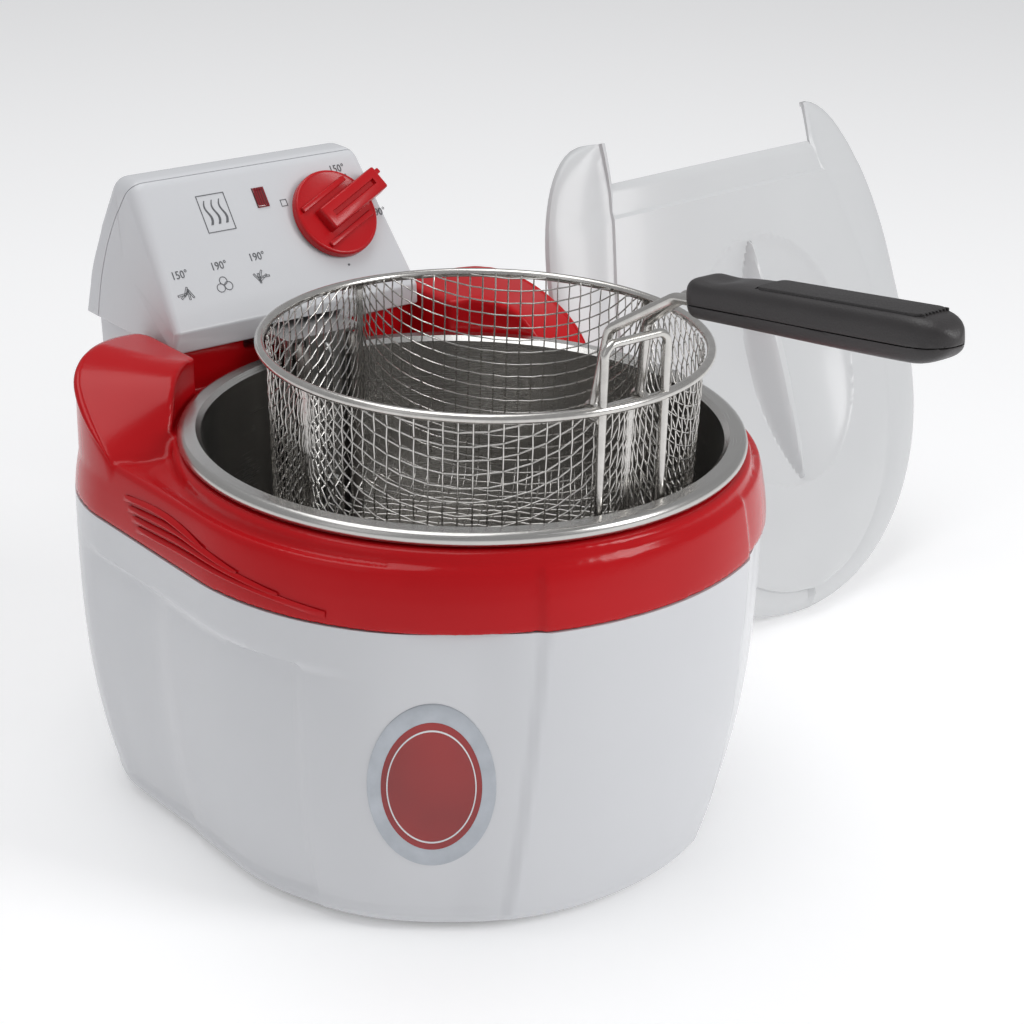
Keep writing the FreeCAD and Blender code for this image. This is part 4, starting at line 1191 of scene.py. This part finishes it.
def make_oval(name, rings, finish):
    """An oval plate lying on the curved wall, from its edge inwards: (share of size, proud in mm)."""
    rows = []
    for share, proud in rings:
        row = []
        for step in range(97):
            turn = 2.0 * math.pi * step / 96.0
            across, up = BADGE_HALF * share * math.sin(turn), BADGE_TALL * share * math.cos(turn)
            row.append(wall_place(across, up, proud * MM))
        rows.append(row)
    piece = skin(name, rows, True)
    smooth(piece, 40.0)
    finished(piece, finish, "base", "pot_steel")


def make_badge():
    make_oval("badge_ring", ((1.0, -0.2), (1.0, 0.25), (0.985, 0.42), (0.90, 0.50),
                             (0.80, 0.42), (0.785, 0.2)), badge_silver)
    make_oval("badge_field", ((0.79, -0.2), (0.785, 0.24), (0.6, 0.36), (0.3, 0.42), (0.0, 0.44)), badge_red)
    make_oval("badge_line", ((0.70, 0.1), (0.697, 0.46), (0.680, 0.48), (0.676, 0.1)), badge_line)


make_badge()


# ============================================================ basket
RIM_HEIGHT = 0.5 * (rim_low.z + rim_high.z)
BASKET_Y = 0.5 * (rim_low.y + rim_high.y)
CUP_RADIUS = mesh_high.x - 0.9 * MM
CUP_TAPER = 2.6 * MM
CUP_LOW = mesh_low.z + 1.0 * MM
CUP_CORNER = 12.5 * MM
WIRE_RADIUS = 0.34 * MM
WIRE_PITCH = 5.6 * MM
WEAVE_LIFT = 0.33 * MM


def cup_point(distance, turn, lift):
    """Where a point of the flat mesh lands on the drawn cup, and lift off its surface."""
    low_radius = CUP_RADIUS - CUP_TAPER
    flat = low_radius - CUP_CORNER
    bend = 0.5 * math.pi * CUP_CORNER
    if distance < flat:
        radius, z = distance, CUP_LOW - lift
    elif distance < flat + bend:
        swing = (distance - flat) / CUP_CORNER
        radius = flat + (CUP_CORNER + lift) * math.sin(swing)
        z = CUP_LOW + CUP_CORNER - (CUP_CORNER + lift) * math.cos(swing)
    else:
        rise = distance - flat - bend
        z = CUP_LOW + CUP_CORNER + rise
        share = rise / (RIM_HEIGHT - CUP_LOW - CUP_CORNER)
        radius = low_radius + CUP_TAPER * share + lift
    return Vector((radius * math.cos(turn), BASKET_Y + radius * math.sin(turn), z))


def net_crossing(first, second, corner):
    """The crossing a pitch from two neighbours on the cup, away from the one behind them."""
    start, other = cup_point(*first, 0.0), cup_point(*second, 0.0)
    distance = first[0] + second[0] - corner[0]
    turn = first[1] + second[1] - corner[1]
    if corner[0] == 0.0:
        distance, turn = WIRE_PITCH * math.sqrt(2.0), 0.25 * math.pi
    probe = 0.1 * MM
    for _ in range(25):
        swing = probe / distance
        here = cup_point(distance, turn, 0.0)
        miss = [(here - end).length_squared - WIRE_PITCH ** 2 for end in (start, other)]
        if abs(miss[0]) + abs(miss[1]) < 1e-13:
            break
        out = cup_point(distance + probe, turn, 0.0)
        round_by = cup_point(distance, turn + swing, 0.0)
        slopes = []
        for end, error in zip((start, other), miss):
            slopes.append((((out - end).length_squared - WIRE_PITCH ** 2 - error) / probe,
                           ((round_by - end).length_squared - WIRE_PITCH ** 2 - error) / swing))
        spread = slopes[0][0] * slopes[1][1] - slopes[0][1] * slopes[1][0]
        further = (miss[0] * slopes[1][1] - miss[1] * slopes[0][1]) / spread
        sideways = (slopes[0][0] * miss[1] - slopes[1][0] * miss[0]) / spread
        limit = WIRE_PITCH / distance
        distance -= max(-WIRE_PITCH, min(WIRE_PITCH, further))
        turn -= max(-limit, min(limit, sideways))
    return (distance, turn)


def drawn_net(reach):
    """One quarter of the square mesh once drawn: wires keep their length and openings shear."""
    count = int(reach / WIRE_PITCH) + 1
    net = {(0, 0): (0.0, 0.0)}
    for step in range(1, count + 1):
        net[(step, 0)] = (step * WIRE_PITCH, 0.0)
        net[(0, step)] = (step * WIRE_PITCH, 0.5 * math.pi)
    for total in range(2, 2 * count):
        for i in range(1, total):
            j = total - i
            near = [net.get(key) for key in ((i - 1, j), (i, j - 1), (i - 1, j - 1))]
            if all(near) and near[2][0] < reach:
                net[(i, j)] = net_crossing(*near)
    return net


def mesh_wire(net, reach, line, direction):
    """The crossings along one whole wire, from rim to rim."""
    halves = []
    for side in (-1, 1):
        half = []
        step = 0
        while True:
            i, j = (side * step, line) if direction == 0 else (line, side * step)
            crossing = net.get((abs(i), abs(j)))
            if crossing is None:
                break
            distance, turn = crossing
            if i < 0:
                turn = math.pi - turn
            if j < 0:
                turn = -turn
            lift = WEAVE_LIFT * (1 if (i + j + direction) % 2 else -1)
            point = cup_point(min(distance, reach), turn + 0.25 * math.pi, lift)
            half.append(point)
            if distance >= reach:
                break
            step += 1
        halves.append(half)
    return halves[0][:0:-1] + halves[1]


def make_mesh():
    """Woven wires of a flat square mesh drawn into a cup, its wires at 45 degrees to the handle."""
    flat = CUP_RADIUS - CUP_TAPER - CUP_CORNER
    reach = flat + 0.5 * math.pi * CUP_CORNER + RIM_HEIGHT - CUP_LOW - CUP_CORNER
    net = drawn_net(reach)
    count = max(key[0] for key in net)
    wires = [mesh_wire(net, reach, line, direction)
             for direction in (0, 1) for line in range(-count, count + 1)]
    piece = make_wire("basket_weave", WIRE_RADIUS, [wire for wire in wires if len(wire) > 2], 1)
    smooth(piece, 80.0)
    finished(piece, finishes["basket_wire"], "basket", "basket_wire", "basket_mesh")


make_mesh()


# ------------------------------------------------------------ grip
GRIP_SLOPE = math.radians(-7.4)
GRIP_PLACE = Matrix.Translation((0.0, -0.1335, 0.2642)) @ Matrix.Rotation(GRIP_SLOPE, 4, "X")
GRIP_LENGTH = 116.5 * MM
GRIP_SPLIT = -2.0 * MM
GRIP_NOSE = 6.0                       # mm that the near end takes to fill out
GRIP_TIP = 15.0                       # mm that the far end takes to round off
SPLIT_GAP = 0.14 * MM                 # from the split to each half's edge
PAD_HALF = 7.0 * MM
PAD_NEAR = -34.0 * MM
PAD_FAR = -GRIP_LENGTH + 10.0 * MM


def grip_section(along):
    """One cross-section of the grip: a fat rounded bar, full at the back and round at its tip."""
    share = along / GRIP_LENGTH
    half = (9.6 + 1.0 * ease(share, 0.0, 0.75)) * MM
    top = (7.5 + 0.5 * ease(share, 0.10, 0.40)) * MM
    low = (7.7 + 0.8 * ease(share, 0.0, 0.8)) * MM
    nose = min(1.0, along / (GRIP_NOSE * MM))
    tip = min(1.0, (GRIP_LENGTH - along) / (GRIP_TIP * MM))
    round_in = math.sqrt(max(0.0, 1.0 - (1.0 - nose) ** 2.4)) * math.sqrt(max(0.0, 1.0 - (1.0 - tip) ** 2.2))
    nose_in = 0.55 + 0.45 * round_in if nose < 1.0 else round_in
    points = []
    for step in range(56):
        turn = 2.0 * math.pi * step / 56.0
        c, s = math.cos(turn), math.sin(turn)
        x = math.copysign(abs(c) ** 0.52, c) * half
        z = math.copysign(abs(s) ** 0.62, s) * (top if s > 0 else low)
        dimple = 1.7 * MM * math.exp(-((along - 13.0 * MM) / (7.0 * MM)) ** 2 - (x / (7.0 * MM)) ** 2)
        points.append((x * nose_in, -along, z * nose_in - (dimple if s > 0 else 0.0)))
    points.append(points[0])
    return points


def make_grip_half(name, above):
    length = GRIP_LENGTH / MM
    stations = [0.0, 0.15, 0.5, 1.0, 2.0, 3.2, 4.6, GRIP_NOSE]
    stations += [GRIP_NOSE + step * (length - GRIP_NOSE - GRIP_TIP) / 31.0 for step in range(1, 31)]
    stations += [length - GRIP_TIP * (1.0 - math.sin(0.5 * math.pi * step / 10.0)) for step in range(1, 11)]
    rows = [grip_section(along * MM) for along in stations]
    piece = skin(name, capped(rows), True)
    editing(piece)
    bpy.ops.mesh.select_all(action="SELECT")
    level = GRIP_SPLIT + (SPLIT_GAP if above else -SPLIT_GAP)
    bpy.ops.mesh.bisect(plane_co=(0, 0, level), plane_no=(0, 0, 1), use_fill=True,
                        clear_inner=above, clear_outer=not above)
    choose_parts(piece, lambda a, b: abs(a.z - level) < 0.00001 and abs(b.z - level) < 0.00001, "EDGE")
    bpy.ops.mesh.bevel(offset=0.35 * MM, segments=2, affect="EDGES")
    done_editing()
    return piece


def make_grip():
    upper = make_grip_half("grip_top_half", True)
    room = 0.2 * MM
    seat = make_block("pad_seat", (-PAD_HALF - room, -GRIP_LENGTH + 9.6 * MM, 7.2 * MM),
                      (PAD_HALF + room, PAD_NEAR + room, 14.0 * MM))
    cut_by(upper, seat)
    set_down(upper, GRIP_PLACE)
    smooth(upper, 34.0)
    finished(upper, finishes["black_grip"], "handle", "black_grip", "grip_upper")
    lower = make_grip_half("grip_bottom_half", False)
    cut_by(lower, make_drum("screw_hole", 3.6 * MM, 4.0 * MM, (0.0, -70.0 * MM, -11.5 * MM)))
    set_down(lower, GRIP_PLACE)
    smooth(lower, 34.0)
    finished(lower, finishes["black_grip"], "handle", "black_grip", "grip_lower")


def make_pad():
    """Soft inlay along the top of the grip, with a fine toothed edge at its far end."""
    pad = make_block("grip_inlay", (-PAD_HALF, PAD_FAR, 6.6 * MM), (PAD_HALF, PAD_NEAR, 8.25 * MM))
    editing(pad)
    choose_parts(pad, lambda a, b: abs(a.z - b.z) > 1.0 * MM, "EDGE")
    bpy.ops.mesh.bevel(offset=3.0 * MM, segments=4, affect="EDGES")
    choose_parts(pad, lambda a, b: a.z > 8.0 * MM and b.z > 8.0 * MM, "EDGE")
    bpy.ops.mesh.bevel(offset=0.4 * MM, segments=2, affect="EDGES")
    done_editing()
    teeth = []
    for index in range(8):
        left = -5.6 + 1.6 * index
        teeth.append(make_block("tooth", (left * MM, PAD_FAR - 0.9 * MM, 6.8 * MM),
                                ((left + 0.8) * MM, PAD_FAR + 1.0 * MM, 8.2 * MM), 0.15 * MM, 1))
    pad = joined("grip_inlay", pad, *teeth)
    set_down(pad, GRIP_PLACE)
    smooth(pad, 34.0)
    finished(pad, pad_finish, "handle", "black_grip", "grip_pad")


make_grip()
make_pad()


# ============================================================ lid
LID_PLACE = (Matrix.Translation((0.261, 0.041, 0.0)) @ Matrix.Rotation(math.radians(3.5), 4, "Z")
             @ Matrix.Rotation(math.radians(67.7), 4, "X"))
LID_HALF = half_width - 6.5 * MM
LID_FRONT = 122.0 * MM
LID_LENGTH = 257.0 * MM
LID_DECK = 10.5 * MM
LID_CROWN = 17.0 * MM
LID_WALL = 2.2 * MM
NOTCH_DEPTH = 21.0 * MM
DECK_FRONT = 11.0 * MM
DECK_BACK = LID_LENGTH - NOTCH_DEPTH


def deck_half(v):
    """Half width of the lid's deck at a distance behind its front rim."""
    share = (v - DECK_FRONT) / (DECK_BACK - DECK_FRONT)
    wide = 94.0 * MM
    peak = 0.60
    if share < peak:
        return wide * math.sqrt(max(0.0, 1.0 - ((peak - share) / peak) ** 2.3))
    return wide - (wide - 75.0 * MM) * ease(share, peak, 1.06)


def deck_height(u, v):
    """Height of the deck above the rim: a low crown, an oval hollow and the grip ridge in it."""
    middle_u, middle_v = 5.0 * MM, 130.0 * MM
    edge = abs(u) / max(deck_half(v), 1.0 * MM)
    crown = blend_between(LID_CROWN, LID_DECK, edge ** 2.6)
    crown -= 3.5 * MM * ease(v, 60.0 * MM, DECK_FRONT) * (1.0 - edge ** 2.6)
    reach = math.hypot((u - middle_u) / (58.0 * MM), (v - middle_v) / (65.0 * MM))
    hollow = 11.5 * MM * max(0.0, 1.0 - reach ** 2) ** 0.72
    along = abs(v - middle_v) / (62.0 * MM)
    if along < 1.0:
        width = 10.5 * MM * (1.0 - along ** 2.0) + 1.2 * MM
        across = abs(u - middle_u) / width
        ridge = (hollow + 3.6 * MM * (1.0 - along ** 2)) * (1.0 - ease(across, 0.12, 1.0))
    else:
        ridge = 0.0
    rear = 1.6 * MM * ease(v, DECK_BACK - 17.0 * MM, DECK_BACK - 15.0 * MM)
    rear += 1.5 * MM * ease(v, DECK_BACK - 4.0 * MM, DECK_BACK)
    return crown - hollow + ridge - rear


def make_lid_deck():
    rows = []
    for row_step in range(151):
        share = row_step / 150.0
        v = blend_between(DECK_FRONT, DECK_BACK, 0.5 * (share + share ** 1.6))
        row = []
        for step in range(-70, 71):
            across = step / 70.0
            across = math.copysign(0.72 * abs(across) + 0.28 * abs(across) ** 2.2, across)
            u = across * deck_half(v)
            row.append((u, v, deck_height(u, v)))
        rows.append(row)
    return skin("lid_deck", rows)


def rim_point(turn):
    """The lid's outline, as a bearing round its middle."""
    half, front, back = LID_HALF, LID_FRONT, LID_LENGTH - LID_FRONT
    corner_across, corner_along = 44.0 * MM, 92.0 * MM
    x, y = math.sin(turn), -math.cos(turn)
    if y <= 0.0:
        reach = 1.0 / math.hypot(x / half, y / front)
        return (x * reach, LID_FRONT + y * reach)
    low, high = 0.0, 0.4
    for _ in range(30):
        reach = 0.5 * (low + high)
        px, py = abs(x * reach), y * reach
        over_x = (px - half + corner_across) / corner_across
        over_y = (py - back + corner_along) / corner_along
        rounded = over_x > 0.0 and over_y > 0.0 and math.hypot(over_x, over_y) > 1.0
        inside = px < half and py < back and not rounded
        low, high = (reach, high) if inside else (low, reach)
    return (x * low, LID_FRONT + y * low)


def make_lid_shoulder():
    """The sloping skirt from the deck's edge out to the rim, with the two horns beside the notch."""
    columns = []
    steps = 170
    last = math.atan2(82.0 * MM, -(LID_LENGTH - 1.0 * MM - LID_FRONT))
    for step in range(steps + 1):
        share = -1.0 + 2.0 * step / steps
        rim_u, rim_v = rim_point(share * last)
        horn = ease(abs(rim_v), DECK_BACK - 26.0 * MM, LID_LENGTH - 2.0 * MM)
        inner_v = DECK_FRONT + rim_v * (LID_LENGTH - 12.0 * MM) / LID_LENGTH
        inner_v = min(inner_v, LID_LENGTH - 0.5 * MM)
        inner_half = deck_half(min(inner_v, DECK_BACK))
        inner_u = math.copysign(inner_half, share)
        if abs(share) < 0.001:
            inner_u = 0.0
        edge = deck_height(inner_u, min(inner_v, DECK_BACK))
        edge = LID_DECK + (edge - LID_DECK) * (1.0 - horn)
        columns.append(((inner_u, inner_v, edge), (rim_u, rim_v, 0.0)))
    rows = []
    profile = ((0.0, 1.0), (0.012, 0.86), (0.035, 0.83), (0.2, 0.80), (0.4, 0.76), (0.6, 0.655),
               (0.78, 0.53), (0.9, 0.42), (0.96, 0.34), (0.99, 0.25), (1.0, 0.12), (1.0, 0.0))
    for out, height in profile:
        row = []
        for inner, outer in columns:
            u = blend_between(inner[0], outer[0], out)
            v = blend_between(inner[1], outer[1], out)
            row.append((u, v, inner[2] * height))
        rows.append(row)
    return skin("lid_shoulder", rows)


def make_lid():
    lid = joined("lid_shell", make_lid_deck(), make_lid_shoulder())
    closed_up(lid, 0.00004)
    modifier(lid, "SOLIDIFY", thickness=LID_WALL, offset=-1.0, use_even_offset=False)
    set_down(lid, LID_PLACE)
    smooth(lid, 26.0)
    finished(lid, finishes["white_lid"], "lid", "white_lid", "lid")


make_lid()


# ============================================================ heating tube
TUBE_RADIUS = 3.25 * MM


def bent_route(points, bends, steps=8):
    """A route of straight runs in space with an arc of its own radius at every corner."""
    route = [points[0]]
    for before, here, after, radius in zip(points, points[1:], points[2:], bends):
        into = (here - before).normalized()
        out = (after - here).normalized()
        turn = into.angle(out)
        first = here - into * (radius * math.tan(0.5 * turn))
        side = (out - into * out.dot(into)).normalized()
        centre = first + side * radius
        for step in range(steps + 1):
            swing = turn * step / steps
            route.append(centre + (into * math.sin(swing) - side * math.cos(swing)) * radius)
    return route + [points[-1]]


def make_heating_tube():
    """Sheathed tube: two risers from the head and a double loop just above the pot's floor."""
    low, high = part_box("heating_element")
    bracket_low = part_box("element_bracket")[0]
    z = low.z + TUBE_RADIUS
    reach = -low.y - TUBE_RADIUS
    entry = high.y - TUBE_RADIUS
    over = rim_top + 2.2 * MM + TUBE_RADIUS
    back = bracket_low.y - TUBE_RADIUS - 0.8 * MM
    apart = 14.0 * MM
    loop = ((-0.95, 0.52), (-0.95, -0.5), (-0.4, -1.0), (0.4, -1.0), (0.95, -0.5), (0.95, 0.62),
            (0.55, 0.62), (0.55, -0.36), (0.26, -0.62), (-0.26, -0.62), (-0.55, -0.36),
            (-0.55, 0.36), (-0.2, 0.55))
    points = [Vector((-apart, entry, high.z)), Vector((-apart, entry, over)), Vector((-apart, back, over)),
              Vector((-apart, back, z)), Vector((-apart, 0.97 * reach, z))]
    points += [Vector((x * reach, y * reach, z)) for x, y in loop]
    points += [Vector((apart, 0.8 * reach, z)), Vector((apart, back, z)), Vector((apart, back, over)),
               Vector((apart, entry, over)), Vector((apart, entry, high.z))]
    bends = [bend * MM for bend in (6, 8, 9, 9, 12, 14, 14, 14, 14, 12, 12, 12,
                                    10, 10, 10, 12, 10, 8, 9, 8, 6)]
    tube = make_wire("heating_tube", TUBE_RADIUS, [bent_route(points, bends)], 5, True)
    smooth(tube, 50.0)
    finished(tube, finishes["element_tube"], "head", "element_tube", "heating_element")


make_heating_tube()
